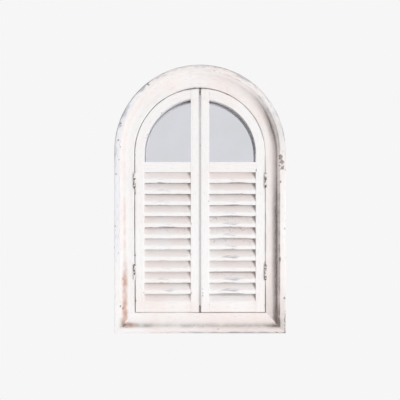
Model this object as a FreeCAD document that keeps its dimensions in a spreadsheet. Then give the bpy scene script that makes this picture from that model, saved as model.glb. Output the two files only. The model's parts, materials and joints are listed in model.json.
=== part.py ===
import FreeCAD, Part
import math
import os
import re
import Sketcher

# Arched garden mirror: a moulded wooden frame with two louvred doors in front of a fixed mirror.
#
# Frame: +X to the right, -Y to the front, +Z up. The wall plane is Y = 0, and the origin lies midway
# between the two keyhole hangers. Depths are measured forward from the wall and heights up from the
# underside of the sill. Every piece is then lowered so that the hangers lie at Z = 0.
# The right-hand pieces are modelled, and the left-hand ones are their mirror images.

SIZES = {
    # Frame outline. The doors' arch springs lower than the outer arch, so the crown is a little wider.
    "overall_width": 486,
    "overall_height": 762,
    "moulding_width": 54.5,
    "arch_drop": 7.5,
    # Moulding profile: round-over, flat rim, bead, cove and a flat band beside the doors
    "rim_width": 17,
    "rim_round": 4,
    "bead_radius": 9,
    "cove_radius": 26,
    "cove_angle": 60,
    # Back frame with the door stop, the mirror and the back panel
    "back_thickness": 19,
    "stop_lip": 12,
    "glass_rebate": 8,
    "glass_thickness": 3,
    "panel_border": 14,
    "panel_thickness": 3,
    "panel_recess": 2,
    "edge_play": 0.5,
    # Doors. The windows' straight sides run down from the spring line, and the louvres fill the rest.
    "door_thickness": 20,
    "stop_clearance": 0.5,
    "door_gap": 2,
    "meeting_gap": 2.6,
    "hinge_stile_width": 26.5,
    "meeting_stile_width": 25.5,
    "bottom_rail_height": 30.5,
    "mid_rail_height": 28.5,
    "top_slat_clearance": 7,
    "window_drop": 24,
    # Slats, spread evenly over the louvres' height
    "slat_count": 11,
    "slat_slope": 56,
    "slat_setback": 1.5,
    "slat_housing": 6,
    "nose_height": 12.2,
    "lip_round": 0.8,
    "groove_clearance": 0.15,
    # Tenons and dowels
    "tenon_thickness": 6,
    "tenon_length": 15,
    "tenon_shoulder": 5,
    "tenon_clearance": 0.1,
    "dowel_radius": 3,
    "dowel_length": 24,
    "dowel_spacing": 14,
    "dowel_clearance": 0.05,
    # Hinges. The high ones are placed down from the spring line, the low ones up from the door's bottom.
    "hinge_length": 42,
    "hinge_high": 77.5,
    "hinge_low": 115.5,
    "leaf_width": 13,
    "leaf_play": 0.1,
    "knuckle_radius": 3,
    "knuckle_standoff": 0.3,
    "knuckle_gap": 0.25,
    "pin_radius": 1.2,
    "pin_clearance": 0.05,
    "pin_head_radius": 1.9,
    "pin_head_length": 1.6,
    # Small countersunk screws in the hinge leaves and hanger plates
    "small_screw_radius": 1.25,
    "small_screw_length": 10,
    "small_head_radius": 2.3,
    "hinge_screw_spacing": 25,
    "screw_clearance": 0.05,
    # Pan-head screws in the back panel, and longer ones from the back frame into the moulding
    "panel_screw_radius": 1.4,
    "panel_screw_length": 9,
    "panel_head_radius": 2.8,
    "panel_head_height": 1.6,
    "frame_screw_radius": 1.75,
    "frame_screw_length": 30,
    "frame_head_radius": 3.6,
    "frame_head_height": 2.2,
    "frame_screw_inset": 16,
    # Keyhole hangers
    "hanger_drop": 60,
    "hanger_inset": 21,
    "hanger_length": 44,
    "hanger_width": 16,
    "hanger_thickness": 1.5,
    "hanger_screw_spacing": 34,
    "keyhole_radius": 4.5,
    "keyhole_slot_radius": 2.3,
    "keyhole_travel": 9,
    "head_room_depth": 8,
    "head_room_margin": 0.5,
    # Door magnets and their strike discs
    "magnet_radius": 3.5,
    "magnet_thickness": 2.5,
    "strike_thickness": 1.5,
    "magnet_clearance": 0.05,
    # How far every cut runs past the faces that it cuts
    "overrun": 2,
}

# Places worked out from the sizes: half widths and radii from the middle plane, heights above the
# underside of the sill, and depths forward of the wall
WORKED = {
    "outer_radius": "overall_width / 2",
    "opening": "outer_radius - moulding_width",
    "stop": "opening - stop_lip",
    "glass_seat": "stop + glass_rebate",
    "panel_seat": "glass_seat + panel_border",
    "door_edge": "opening - door_gap",
    "hinge_line": "opening - door_gap / 2",
    "meeting_edge": "meeting_gap / 2",
    "meeting_inner": "meeting_edge + meeting_stile_width",
    "hinge_inner": "door_edge - hinge_stile_width",
    "meeting_middle": "meeting_edge + meeting_stile_width / 2",
    "hinge_middle": "door_edge - hinge_stile_width / 2",
    "moulding_middle": "outer_radius - moulding_width / 2",
    "back_middle": "(outer_radius + panel_seat) / 2",
    "hanger_line": "outer_radius - hanger_inset",
    "screw_line": "outer_radius - frame_screw_inset",
    "panel_screw_line": "glass_seat + panel_border / 2",
    "outer_spring": "overall_height - outer_radius",
    "spring": "outer_spring - arch_drop",
    "origin_height": "spring - hanger_drop",
    "stop_floor": "moulding_width + stop_lip",
    "glass_floor": "stop_floor - glass_rebate",
    "panel_floor": "glass_floor - panel_border",
    "door_bottom": "moulding_width + door_gap",
    "louvre_bottom": "door_bottom + bottom_rail_height",
    "mid_rail_top": "spring - window_drop",
    "louvre_top": "mid_rail_top - mid_rail_height",
    "louvre_height": "louvre_top - louvre_bottom",
    "arch_joint_height": "spring + (sqrt(door_edge ^ 2 - meeting_inner ^ 2) + "
                         "sqrt(hinge_inner ^ 2 - meeting_inner ^ 2)) / 2",
    "crown_middle": "overall_height - (moulding_width + arch_drop) / 2",
    "back_crown_middle": "spring + (panel_seat + outer_radius + arch_drop) / 2",
    "magnet_height": "(door_bottom + stop_floor) / 2",
    "glass_back": "panel_recess + panel_thickness",
    "glass_front": "glass_back + glass_thickness",
    "door_back": "back_thickness + stop_clearance",
    "door_front": "door_back + door_thickness",
    "door_middle": "door_back + door_thickness / 2",
    "back_joint_depth": "(glass_front + back_thickness) / 2",
    "moulding_joint_depth": "(back_thickness + door_front) / 2",
    "profile_rise": "(cove_radius + bead_radius) * (1 - cos(cove_angle))",
    "rim_front": "door_front + profile_rise",
    "slat_front": "door_front - slat_setback",
    "slat_back": "door_back + slat_setback",
    "slat_rise": "(slat_front - slat_back) * tan(slat_slope)",
    "lip_run": "lip_round / tan((90 - slat_slope) / 2)",
    "nose_seen": "nose_height - lip_run + lip_round",
    "slat_pitch": "(louvre_height + nose_seen) / (slat_count + 1)",
    "mid_rail_bevel": "slat_rise + nose_seen - slat_pitch + top_slat_clearance",
    "mid_rail_bed": "louvre_top + mid_rail_bevel * (door_thickness + tenon_thickness) / 2 / door_thickness",
    "hinge_depth": "door_front + knuckle_radius + knuckle_standoff",
    "leaf_thickness": "door_gap / 2 - leaf_play",
    "leaf_back": "door_front - leaf_width",
    "leaf_middle": "door_front - leaf_width / 2",
    "knuckle_length": "hinge_length / 3",
    "mortise_length": "tenon_length + tenon_clearance",
    "dowel_hole_radius": "dowel_radius + dowel_clearance",
    "dowel_hole_depth": "dowel_length / 2 + dowel_clearance",
    "through": "rim_front + 2 * overrun",
}

# Screws and dowels along the pieces: shares of a length, and angles up from the spring line
STILE_SCREW_SHARES = (0.12, 0.45, 0.75)
RAIL_SCREW_SHARE = 0.5
ARCH_SCREW_ANGLES = (25, 60)
PANEL_STILE_SHARES = (0.3, 0.72)
PANEL_ARCH_ANGLES = (14, 62)

# The three drawing views: origin plane, and the axis and angle that turn the sketch in it.
# front: across is X, up is Z, towards the viewer is forward.
# plan: across is X, up is depth, towards the viewer is downward.
# side: across is depth, up is Z, towards the viewer is -X.
VIEWS = {
    "front": ("XZ_Plane", FreeCAD.Vector(1, 0, 0), 0),
    "plan": ("XY_Plane", FreeCAD.Vector(1, 0, 0), 180),
    "side": ("YZ_Plane", FreeCAD.Vector(0, 1, 0), 180),
}

# Turns that point the axis of a cylinder or cone
POINTING = {
    "up": FreeCAD.Rotation(),
    "forward": FreeCAD.Rotation(FreeCAD.Vector(1, 0, 0), 90),
    "right": FreeCAD.Rotation(FreeCAD.Vector(0, 1, 0), 90),
    "left": FreeCAD.Rotation(FreeCAD.Vector(0, 1, 0), -90),
}

doc = FreeCAD.newDocument("ArchedGardenMirror")
sheet = doc.addObject("Spreadsheet::Sheet", "Sizes")
for row, (alias, size) in enumerate(SIZES.items(), start=1):
    sheet.set(f"A{row}", alias)
    sheet.set(f"B{row}", str(size))
    sheet.setAlias(f"B{row}", alias)
doc.recompute()


# Expressions

def spelled(text):
    """The expression with worked-out names opened up and sizes given their sheet."""
    def swap(match):
        word = match.group(0)
        if word in WORKED:
            return f"({spelled(WORKED[word])})"
        return f"Sizes.{word}" if word in SIZES else word
    return re.sub(r"[a-z_]+", swap, text)


def bind(item, target, text):
    item.setExpression(target, spelled(text))


def number(text):
    return float(sheet.evalExpression(spelled(text)))


# Sketches

def new_body(label):
    body = doc.addObject("PartDesign::Body", label)
    body.Label = label
    bind(body, "Placement.Base.z", "-origin_height")
    return body


def origin_feature(body, role):
    return next(item for item in body.Origin.OriginFeatures if item.Role == role)


def new_sketch(body, view, at):
    plane_role, turn_axis, turn = VIEWS[view]
    sketch = body.newObject("Sketcher::SketchObject", f"{body.Name}_sketch")
    sketch.AttachmentSupport = [(origin_feature(body, plane_role), "")]
    sketch.MapMode = "FlatFace"
    sketch.AttachmentOffset = FreeCAD.Placement(FreeCAD.Vector(), FreeCAD.Rotation(turn_axis, turn))
    bind(sketch, "AttachmentOffset.Base.z", at)
    return sketch


def hold_point(sketch, edge, end, across, up):
    """Ties a point of the sketch to its two coordinates."""
    for kind, axis, text in (("DistanceX", -2, across), ("DistanceY", -1, up)):
        if text == "0":
            sketch.addConstraint(Sketcher.Constraint("PointOnObject", edge, end, axis))
            continue
        size = number(text)
        points = (-1, 1, edge, end) if size > 0 else (edge, end, -1, 1)
        index = sketch.addConstraint(Sketcher.Constraint(kind, *points, abs(size)))
        bind(sketch, f"Constraints[{index}]", text if size > 0 else f"-({text})")


def hold_radius(sketch, edge, text):
    index = sketch.addConstraint(Sketcher.Constraint("Radius", edge, number(text)))
    bind(sketch, f"Constraints[{index}]", text)


def arc_between(here, there, radius, turn):
    """An arc of under a half circle. Sketch arcs run to the left, so a right-hand one is drawn backwards."""
    chord = there - here
    to_left = FreeCAD.Vector(-chord.y, chord.x, 0).normalize()
    reach = math.sqrt(radius ** 2 - (chord.Length / 2) ** 2)
    centre = here + chord / 2 + to_left * (reach if turn == "left" else -reach)
    start, end = (here, there) if turn == "left" else (there, here)
    angles = [math.atan2(point.y - centre.y, point.x - centre.x) for point in (start, end)]
    return Part.ArcOfCircle(Part.Circle(centre, FreeCAD.Vector(0, 0, 1), radius), *angles)


def draw_outline(sketch, corners):
    """A closed outline of (across, up) corners. A corner that an arc leaves adds its radius and turn."""
    first = sketch.GeometryCount
    points = [FreeCAD.Vector(number(corner[0]), number(corner[1]), 0) for corner in corners]
    ends = []
    for index, corner in enumerate(corners):
        here, there = points[index], points[(index + 1) % len(points)]
        if len(corner) == 2:
            sketch.addGeometry(Part.LineSegment(here, there))
            ends.append((1, 2))
        else:
            sketch.addGeometry(arc_between(here, there, number(corner[2]), corner[3]))
            ends.append((1, 2) if corner[3] == "left" else (2, 1))
    for index, corner in enumerate(corners):
        following = (index + 1) % len(corners)
        sketch.addConstraint(Sketcher.Constraint(
            "Coincident", first + index, ends[index][1], first + following, ends[following][0]))
        hold_point(sketch, first + index, ends[index][0], corner[0], corner[1])
        if len(corner) > 2:
            hold_radius(sketch, first + index, corner[2])


def draw_circles(sketch, places, radius):
    for across, up in places:
        centre = FreeCAD.Vector(number(across), number(up), 0)
        edge = sketch.addGeometry(Part.Circle(centre, FreeCAD.Vector(0, 0, 1), number(radius)))
        hold_point(sketch, edge, 3, across, up)
        hold_radius(sketch, edge, radius)


def rectangle(left, low, right, high):
    return [(left, low), (right, low), (right, high), (left, high)]


# Features

def add_feature(body, kind, sketch, length, reverse=False):
    feature = body.newObject(f"PartDesign::{kind}", f"{body.Name}_{kind.lower()}")
    feature.Profile = sketch
    feature.Reversed = reverse
    bind(feature, "Length", length)
    return feature


def pad(body, view, at, corners, length):
    """Adds the outline's solid, towards the viewer of the view."""
    sketch = new_sketch(body, view, at)
    draw_outline(sketch, corners)
    return add_feature(body, "Pad", sketch, length)


def pocket(body, view, at, corners, length, reverse=False):
    """Cuts the outline away from the viewer of the view, or towards the viewer where it is reversed."""
    sketch = new_sketch(body, view, at)
    draw_outline(sketch, corners)
    return add_feature(body, "Pocket", sketch, length, reverse)


def bore(body, view, at, places, radius, depth, reverse=False):
    sketch = new_sketch(body, view, at)
    draw_circles(sketch, places, radius)
    return add_feature(body, "Pocket", sketch, depth, reverse)


def post(body, view, at, places, radius, length):
    sketch = new_sketch(body, view, at)
    draw_circles(sketch, places, radius)
    return add_feature(body, "Pad", sketch, length)


def cut_from_front(body, corners):
    return pocket(body, "front", "rim_front + overrun", corners, "through")


def cut_from_back(body, corners, depth):
    return pocket(body, "front", depth, corners, f"{depth} + overrun")


def bore_from_back(body, places, radius, depth):
    return bore(body, "front", depth, places, radius, f"{depth} + overrun")


def repeat_up(body, feature, count, length):
    pattern = body.newObject("PartDesign::LinearPattern", f"{body.Name}_pattern")
    pattern.Originals = [feature]
    pattern.Direction = (origin_feature(body, "Z_Axis"), [""])
    bind(pattern, "Length", length)
    bind(pattern, "Occurrences", count)
    body.Tip = pattern


# Loose solids, groups and mirror images

def turned(kind, name, place, pointing, sizes):
    """A cylinder or cone whose first end lies at (X, depth, height), pointing the given way."""
    item = doc.addObject(f"Part::{kind}", name)
    item.Placement = FreeCAD.Placement(FreeCAD.Vector(), POINTING[pointing])
    across, depth, height = place
    bind(item, "Placement.Base.x", across)
    bind(item, "Placement.Base.y", f"-({depth})")
    bind(item, "Placement.Base.z", f"{height} - origin_height")
    for target, text in sizes.items():
        bind(item, target, text)
    return item


def rod(name, place, pointing, radius, length):
    return turned("Cylinder", name, place, pointing, {"Radius": radius, "Height": length})


def fused(name, members):
    item = doc.addObject("Part::MultiFuse", name)
    item.Shapes = members
    return item


def group(label, members):
    item = doc.addObject("Part::Compound", label)
    item.Label = label
    item.Links = members
    return item


def mirror_image(label, source):
    item = doc.addObject("Part::Mirroring", label)
    item.Label = label
    item.Source = source
    item.Normal = FreeCAD.Vector(1, 0, 0)
    return item


def both_sides(label, members):
    """One group of the right-hand members and their mirror images."""
    right = group(f"{label}_right", members)
    return group(label, [right, mirror_image(f"{label}_left", right)])


def on_arch(radius, centre, angle):
    """A place on an arch, at an angle up from its spring line."""
    return f"{radius} * cos({angle})", f"{centre} + {radius} * sin({angle})"


# Frame moulding

def moulding_profile(inner, place):
    """The moulding's section. Place turns a distance from the outer edge and a depth into sketch axes."""
    bead_end = "rim_width + bead_radius * sin(cove_angle)"
    cove_end = "rim_width + (bead_radius + cove_radius) * sin(cove_angle)"
    return [
        place(inner, "back_thickness"),
        place("0", "back_thickness"),
        place("0", "rim_front - rim_round") + ("rim_round", "left"),
        place("rim_round", "rim_front"),
        place("rim_width", "rim_front") + ("bead_radius", "left"),
        place(bead_end, "rim_front - bead_radius * (1 - cos(cove_angle))") + ("cove_radius", "right"),
        place(cove_end, "door_front"),
        place(inner, "door_front"),
    ]


def upright_section(inner):
    return moulding_profile(inner, lambda inset, depth: (f"outer_radius - ({inset})", depth))


def dowel_pair(middle):
    return [f"{middle} - dowel_spacing / 2", f"{middle} + dowel_spacing / 2"]


def bore_for_dowels(body, view, at, places, reverse=False):
    bore(body, view, at, places, "dowel_hole_radius", "dowel_hole_depth", reverse)


def moulding_joint_places():
    return [(across, "moulding_joint_depth") for across in dowel_pair("moulding_middle")]


def crown_joint_places():
    return [("moulding_joint_depth", height) for height in dowel_pair("crown_middle")]


def stile_screw_heights():
    return [f"{share} * spring" for share in STILE_SCREW_SHARES]


def bore_frame_screws(body, places):
    """Pilot holes that the frame screws fill, into the moulding from behind."""
    bore(body, "front", "back_thickness", places, "frame_screw_radius + screw_clearance",
         "frame_screw_length + frame_head_height + screw_clearance - back_thickness", reverse=True)


def make_moulding_jamb(label):
    body = new_body(label)
    pad(body, "plan", "spring", upright_section("moulding_width"), "spring")
    cut_from_front(body, [
        ("opening - overrun", "-overrun"),
        ("outer_radius + overrun", "-overrun"),
        ("opening - overrun", "moulding_width + overrun"),
    ])
    bore_for_dowels(body, "plan", "spring", moulding_joint_places(), reverse=True)
    bore_frame_screws(body, [("screw_line", height) for height in stile_screw_heights()])
    for height in HINGE_HEIGHTS:
        bore(body, "side", "opening", hinge_screw_places(height), "small_screw_radius + screw_clearance",
             "small_screw_length + screw_clearance")
    return body


def make_moulding_arch(label):
    body = new_body(label)
    section = new_sketch(body, "plan", "outer_spring")
    draw_outline(section, upright_section("moulding_width + 2 * arch_drop"))
    add_feature(body, "Pad", section, "arch_drop")
    turning = body.newObject("PartDesign::Revolution", f"{label}_revolution")
    turning.Profile = section
    turning.ReferenceAxis = (section, ["V_Axis"])
    turning.Angle = 90
    cut_from_front(body, [
        ("-overrun", "spring - overrun"),
        ("opening", "spring - overrun"),
        ("opening", "spring", "opening", "left"),
        ("0", "spring + opening"),
        ("-overrun", "spring + opening"),
    ])
    bore_for_dowels(body, "plan", "spring", moulding_joint_places())
    bore_for_dowels(body, "side", "0", crown_joint_places())
    bore_frame_screws(body, [on_arch("screw_line", "outer_spring", angle) for angle in ARCH_SCREW_ANGLES])
    return body


def make_moulding_sill(label):
    body = new_body(label)
    section = moulding_profile("moulding_width", lambda inset, depth: (depth, inset))
    pad(body, "side", "outer_radius", section, "overall_width")
    for sign in ("", "-"):
        cut_from_front(body, [
            (f"{sign}(outer_radius + overrun)", "-overrun"),
            (f"{sign}(outer_radius + overrun)", "moulding_width + overrun"),
            (f"{sign}(opening - overrun)", "moulding_width + overrun"),
        ])
    bore_frame_screws(body, rail_screw_places())
    return body


# Back frame

def rail_screw_places():
    return [(f"{sign}{RAIL_SCREW_SHARE} * stop", "frame_screw_inset") for sign in ("", "-")]


def seat_frame_screws(body, places):
    """Clearance holes through the back frame, counterbored for the heads."""
    bore_from_back(body, places, "frame_screw_radius + screw_clearance", "back_thickness + overrun")
    bore_from_back(body, places, "frame_head_radius + screw_clearance", "frame_head_height")


def seat_panel_screws(body, places):
    bore(body, "front", "glass_back", places, "panel_screw_radius + screw_clearance",
         "panel_screw_length + screw_clearance - panel_thickness", reverse=True)


def cut_hanger_seat(body):
    """The plate's recess, and the room behind it for the head of the wall screw."""
    cut_from_back(body, rectangle(
        "hanger_line - hanger_width / 2", "origin_height - hanger_length / 2",
        "hanger_line + hanger_width / 2", "origin_height + hanger_length / 2"), "hanger_thickness")
    reach = "(keyhole_radius + head_room_margin)"
    cut_from_back(body, rectangle(
        f"hanger_line - {reach}", f"origin_height - {reach}",
        f"hanger_line + {reach}", f"origin_height + keyhole_travel + {reach}"),
        "hanger_thickness + head_room_depth")
    bore(body, "front", "hanger_thickness", hanger_screw_places(), "small_screw_radius + screw_clearance",
         "small_screw_length + screw_clearance", reverse=True)


def make_back_stile(label):
    body = new_body(label)
    pad(body, "front", "0", rectangle("stop", "0", "outer_radius", "spring"), "back_thickness")
    cut_from_back(body, rectangle("stop - overrun", "panel_floor", "panel_seat", "spring + overrun"),
                  "glass_back")
    cut_from_back(body, rectangle("stop - overrun", "glass_floor", "glass_seat", "spring + overrun"),
                  "glass_front")
    cut_hanger_seat(body)
    seat_frame_screws(body, [("screw_line", height) for height in stile_screw_heights()])
    seat_panel_screws(body, [("panel_screw_line", height) for height in panel_stile_heights()])
    bore_for_dowels(body, "plan", "spring", back_joint_places(), reverse=True)
    bore_for_dowels(body, "side", "stop", rail_joint_places())
    return body


def make_back_arch(label):
    body = new_body(label)
    pad(body, "front", "0", [
        ("stop", "spring"),
        ("outer_radius", "spring"),
        ("outer_radius", "outer_spring", "outer_radius", "left"),
        ("0", "overall_height"),
        ("0", "spring + stop", "stop", "right"),
    ], "back_thickness")
    for seat, depth in (("panel_seat", "glass_back"), ("glass_seat", "glass_front")):
        cut_from_back(body, [
            ("-overrun", "spring - overrun"),
            (seat, "spring - overrun"),
            (seat, "spring", seat, "left"),
            ("0", f"spring + {seat}"),
            ("-overrun", f"spring + {seat}"),
        ], depth)
    seat_frame_screws(body, [on_arch("screw_line", "outer_spring", angle) for angle in ARCH_SCREW_ANGLES])
    seat_panel_screws(body, [on_arch("panel_screw_line", "spring", angle) for angle in PANEL_ARCH_ANGLES])
    bore_for_dowels(body, "plan", "spring", back_joint_places())
    bore_for_dowels(body, "side", "0", back_crown_joint_places())
    return body


def make_back_rail(label):
    body = new_body(label)
    pad(body, "front", "0", rectangle("-stop", "0", "stop", "stop_floor"), "back_thickness")
    for floor, depth in (("panel_floor", "glass_back"), ("glass_floor", "glass_front")):
        cut_from_back(body, rectangle("-(stop + overrun)", floor, "stop + overrun", "stop_floor + overrun"),
                      depth)
    seat_frame_screws(body, rail_screw_places())
    seat_panel_screws(body, panel_rail_places())
    bore_for_dowels(body, "side", "stop", rail_joint_places(), reverse=True)
    bore_for_dowels(body, "side", "-stop", rail_joint_places())
    magnet_places = [(f"{sign}meeting_middle", "magnet_height") for sign in ("", "-")]
    bore(body, "front", "back_thickness", magnet_places,
         "magnet_radius + magnet_clearance", "magnet_thickness")
    return body


def back_joint_places():
    return [(across, "back_joint_depth") for across in dowel_pair("back_middle")]


def rail_joint_places():
    return [("back_joint_depth", height) for height in dowel_pair("panel_floor / 2")]


def back_crown_joint_places():
    return [("back_joint_depth", height) for height in dowel_pair("back_crown_middle")]


# Mirror and back panel

def arched_outline(radius, floor):
    return [
        (f"-({radius})", floor),
        (radius, floor),
        (radius, "spring", radius, "left"),
        ("0", f"spring + {radius}", radius, "left"),
        (f"-({radius})", "spring"),
    ]


def make_mirror_glass(label):
    body = new_body(label)
    pad(body, "front", "glass_back", arched_outline("glass_seat - edge_play", "glass_floor + edge_play"),
        "glass_thickness")
    return body


def panel_stile_heights():
    return [f"{share} * spring" for share in PANEL_STILE_SHARES]


def panel_rail_places():
    return [(f"{sign}{RAIL_SCREW_SHARE} * stop", "panel_floor + panel_border / 2") for sign in ("", "-")]


def panel_screw_places():
    """Places on the right-hand half of the panel."""
    sides = [("panel_screw_line", height) for height in panel_stile_heights()]
    arch = [on_arch("panel_screw_line", "spring", angle) for angle in PANEL_ARCH_ANGLES]
    return sides + arch + panel_rail_places()[:1]


def make_back_panel(label):
    body = new_body(label)
    pad(body, "front", "panel_recess", arched_outline("panel_seat - edge_play", "panel_floor + edge_play"),
        "panel_thickness")
    places = panel_screw_places()
    mirrored = [(f"-({across})", up) for across, up in places]
    bore_from_back(body, places + mirrored, "panel_screw_radius + screw_clearance", "glass_back + overrun")
    return body


def make_panel_screws(label):
    screws = []
    for index, (across, height) in enumerate(panel_screw_places()):
        head = rod(f"{label}_head_{index}", (across, "panel_recess - panel_head_height", height), "forward",
                   "panel_head_radius", "panel_head_height")
        shank = rod(f"{label}_shank_{index}", (across, "panel_recess", height), "forward",
                    "panel_screw_radius", "panel_screw_length")
        screws.append(fused(f"{label}_{index}", [head, shank]))
    return both_sides(label, screws)


def make_frame_screws(label):
    places = [("screw_line", height) for height in stile_screw_heights()]
    places += [on_arch("screw_line", "outer_spring", angle) for angle in ARCH_SCREW_ANGLES]
    places += rail_screw_places()[:1]
    screws = []
    for index, (across, height) in enumerate(places):
        head = rod(f"{label}_head_{index}", (across, "0", height), "forward",
                   "frame_head_radius", "frame_head_height")
        shank = rod(f"{label}_shank_{index}", (across, "frame_head_height", height), "forward",
                    "frame_screw_radius", "frame_screw_length")
        screws.append(fused(f"{label}_{index}", [head, shank]))
    return both_sides(label, screws)


def upright_dowels(name, places):
    """Dowels through the spring line, at (across, depth) places."""
    return [rod(f"{name}_{index}", (across, depth, "spring - dowel_length / 2"), "up",
                "dowel_radius", "dowel_length")
            for index, (across, depth) in enumerate(places)]


def level_dowels(name, joint, places):
    """Dowels along X through a joint plane, at (depth, height) places."""
    return [rod(f"{name}_{index}", (f"{joint} - dowel_length / 2", depth, height), "right",
                "dowel_radius", "dowel_length")
            for index, (depth, height) in enumerate(places)]


def make_frame_dowels(label):
    side = upright_dowels(f"{label}_moulding", moulding_joint_places())
    side += upright_dowels(f"{label}_back", back_joint_places())
    side += level_dowels(f"{label}_rail", "stop", rail_joint_places())
    crown = level_dowels(f"{label}_crown", "0", crown_joint_places())
    crown += level_dowels(f"{label}_back_crown", "0", back_crown_joint_places())
    return group(label, [both_sides(f"{label}_sides", side)] + crown)


# Hangers and magnets

def hanger_screw_places():
    heights = ("origin_height - hanger_screw_spacing / 2", "origin_height + hanger_screw_spacing / 2")
    return [("hanger_line", height) for height in heights]


def make_hanger_plate(label):
    body = new_body(label)
    pad(body, "front", "0", rectangle(
        "hanger_line - hanger_width / 2 + edge_play", "origin_height - hanger_length / 2 + edge_play",
        "hanger_line + hanger_width / 2 - edge_play", "origin_height + hanger_length / 2 - edge_play"),
        "hanger_thickness")
    bore_from_back(body, [("hanger_line", "origin_height")], "keyhole_radius", "hanger_thickness + overrun")
    slot_top = "origin_height + keyhole_travel"
    cut_from_back(body, rectangle(
        "hanger_line - keyhole_slot_radius", "origin_height", "hanger_line + keyhole_slot_radius", slot_top),
        "hanger_thickness + overrun")
    bore_from_back(body, [("hanger_line", slot_top)], "keyhole_slot_radius", "hanger_thickness + overrun")
    bore_from_back(body, hanger_screw_places(), "small_head_radius + screw_clearance",
                   "hanger_thickness + overrun")
    return body


def small_screw(name, place, along, pointing, seat, sign):
    """A countersunk screw whose head fills a plate of the given thickness."""
    head = turned("Cone", f"{name}_head", place, pointing,
                  {"Radius1": "small_head_radius", "Radius2": "small_screw_radius", "Height": seat})
    shank_place = list(place)
    shank_place[along] = f"{place[along]} {sign} {seat}"
    shank = rod(f"{name}_shank", shank_place, pointing, "small_screw_radius", "small_screw_length")
    return fused(name, [head, shank])


def make_magnets(label):
    magnet = rod(f"{label}_disc", ("meeting_middle", "back_thickness - magnet_thickness", "magnet_height"),
                 "forward", "magnet_radius", "magnet_thickness")
    return both_sides(label, [magnet])


# Hinges

HINGE_HEIGHTS = ("door_bottom + hinge_low", "spring - hinge_high")


def hinge_screw_places(height):
    """Places on a leaf, as (depth, height)."""
    return [("leaf_middle", f"{height} {sign} hinge_screw_spacing / 2") for sign in ("-", "+")]


def make_hinge_leaf(name, height, side):
    """A leaf on the frame's side or the door's side of the gap, with its own knuckles of the three."""
    body = new_body(name)
    own = (0, 2) if side == "frame" else (1,)
    face = "hinge_line + leaf_play + leaf_thickness" if side == "frame" else "hinge_line - leaf_play"
    low = f"{height} - hinge_length / 2"
    pad(body, "side", face, rectangle(
        "leaf_back", low, "hinge_depth - knuckle_radius - knuckle_standoff", f"{height} + hinge_length / 2"),
        "leaf_thickness")
    for third in own:
        bottom = f"{low} + {third} * knuckle_length + knuckle_gap / 2"
        top = f"{low} + {third + 1} * knuckle_length - knuckle_gap / 2"
        pad(body, "side", face, rectangle("leaf_back", bottom, "hinge_depth", top), "leaf_thickness")
        post(body, "plan", top, [("hinge_line", "hinge_depth")], "knuckle_radius",
             "knuckle_length - knuckle_gap")
    bore(body, "plan", f"{low} - overrun", [("hinge_line", "hinge_depth")], "pin_radius + pin_clearance",
         "hinge_length + 2 * overrun")
    bore(body, "side", "hinge_line - door_gap", hinge_screw_places(height),
         "small_head_radius + screw_clearance", "2 * door_gap")
    return body


def make_hinge_screws(name, side):
    """The screws of one side's leaves, heads flush with the leaf."""
    face, pointing, sign = {
        "frame": ("hinge_line + leaf_play", "right", "+"),
        "door": ("hinge_line - leaf_play", "left", "-"),
    }[side]
    places = [place for height in HINGE_HEIGHTS for place in hinge_screw_places(height)]
    return [small_screw(f"{name}_{index}", (face, depth, height), 0, pointing, "leaf_thickness", sign)
            for index, (depth, height) in enumerate(places)]


def make_hinge_pins(label):
    pins = []
    for index, height in enumerate(HINGE_HEIGHTS):
        low, high = f"{height} - hinge_length / 2", f"{height} + hinge_length / 2"
        shank = rod(f"{label}_shank_{index}", ("hinge_line", "hinge_depth", low), "up", "pin_radius",
                    "hinge_length")
        foot = rod(f"{label}_foot_{index}", ("hinge_line", "hinge_depth", f"{low} - pin_head_length"), "up",
                   "pin_head_radius", "pin_head_length")
        head = rod(f"{label}_head_{index}", ("hinge_line", "hinge_depth", high), "up",
                   "pin_head_radius", "pin_head_length")
        pins.append(fused(f"{label}_{index}", [shank, foot, head]))
    return both_sides(label, pins)


def make_frame_small_screws(label):
    screws = make_hinge_screws(f"{label}_hinge", "frame")
    for index, (across, height) in enumerate(hanger_screw_places()):
        screws.append(small_screw(f"{label}_hanger_{index}", (across, "0", height), 1, "forward",
                                  "hanger_thickness", "+"))
    return both_sides(label, screws)


# Doors

def slat_section(nose_top, clearance):
    """A slat's section, as (depth, height), with its worn lower lip, grown on all sides by a clearance."""
    front, back = f"slat_front + {clearance}", f"slat_back - {clearance}"
    grown_rise = f"(slat_rise + 2 * {clearance} * tan(slat_slope))"
    lift = f"{clearance} / cos(slat_slope)"
    crest = f"{nose_top} - {clearance} * tan(slat_slope) + {lift}"
    foot = f"{nose_top} - nose_height - {clearance} * tan(slat_slope) - {lift}"
    return [
        (f"{front} - lip_run * cos(slat_slope)", f"{foot} + lip_run * sin(slat_slope)", "lip_round", "left"),
        (front, f"{foot} + lip_run"),
        (front, crest),
        (back, f"{crest} + {grown_rise}"),
        (back, f"{foot} + {grown_rise}"),
    ]


def cut_slat_grooves(body, at, reverse):
    groove = pocket(body, "side", at, slat_section("louvre_bottom + slat_pitch", "groove_clearance"),
                    "slat_housing + groove_clearance", reverse)
    repeat_up(body, groove, "slat_count", "(slat_count - 1) * slat_pitch")


def stile_joint_places():
    return [(across, "door_middle") for across in dowel_pair("hinge_middle")]


def arch_joint_places():
    return [("door_middle", height) for height in dowel_pair("arch_joint_height")]


def cut_mortises(body, at, reverse):
    half = "(tenon_thickness / 2 + tenon_clearance)"
    for low, high in (("door_bottom", "louvre_bottom"), ("mid_rail_bed", "mid_rail_top")):
        pocket(body, "side", at, rectangle(
            f"door_middle - {half}", f"{low} + tenon_shoulder - tenon_clearance",
            f"door_middle + {half}", f"{high} - tenon_shoulder + tenon_clearance"),
            "mortise_length", reverse)


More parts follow.
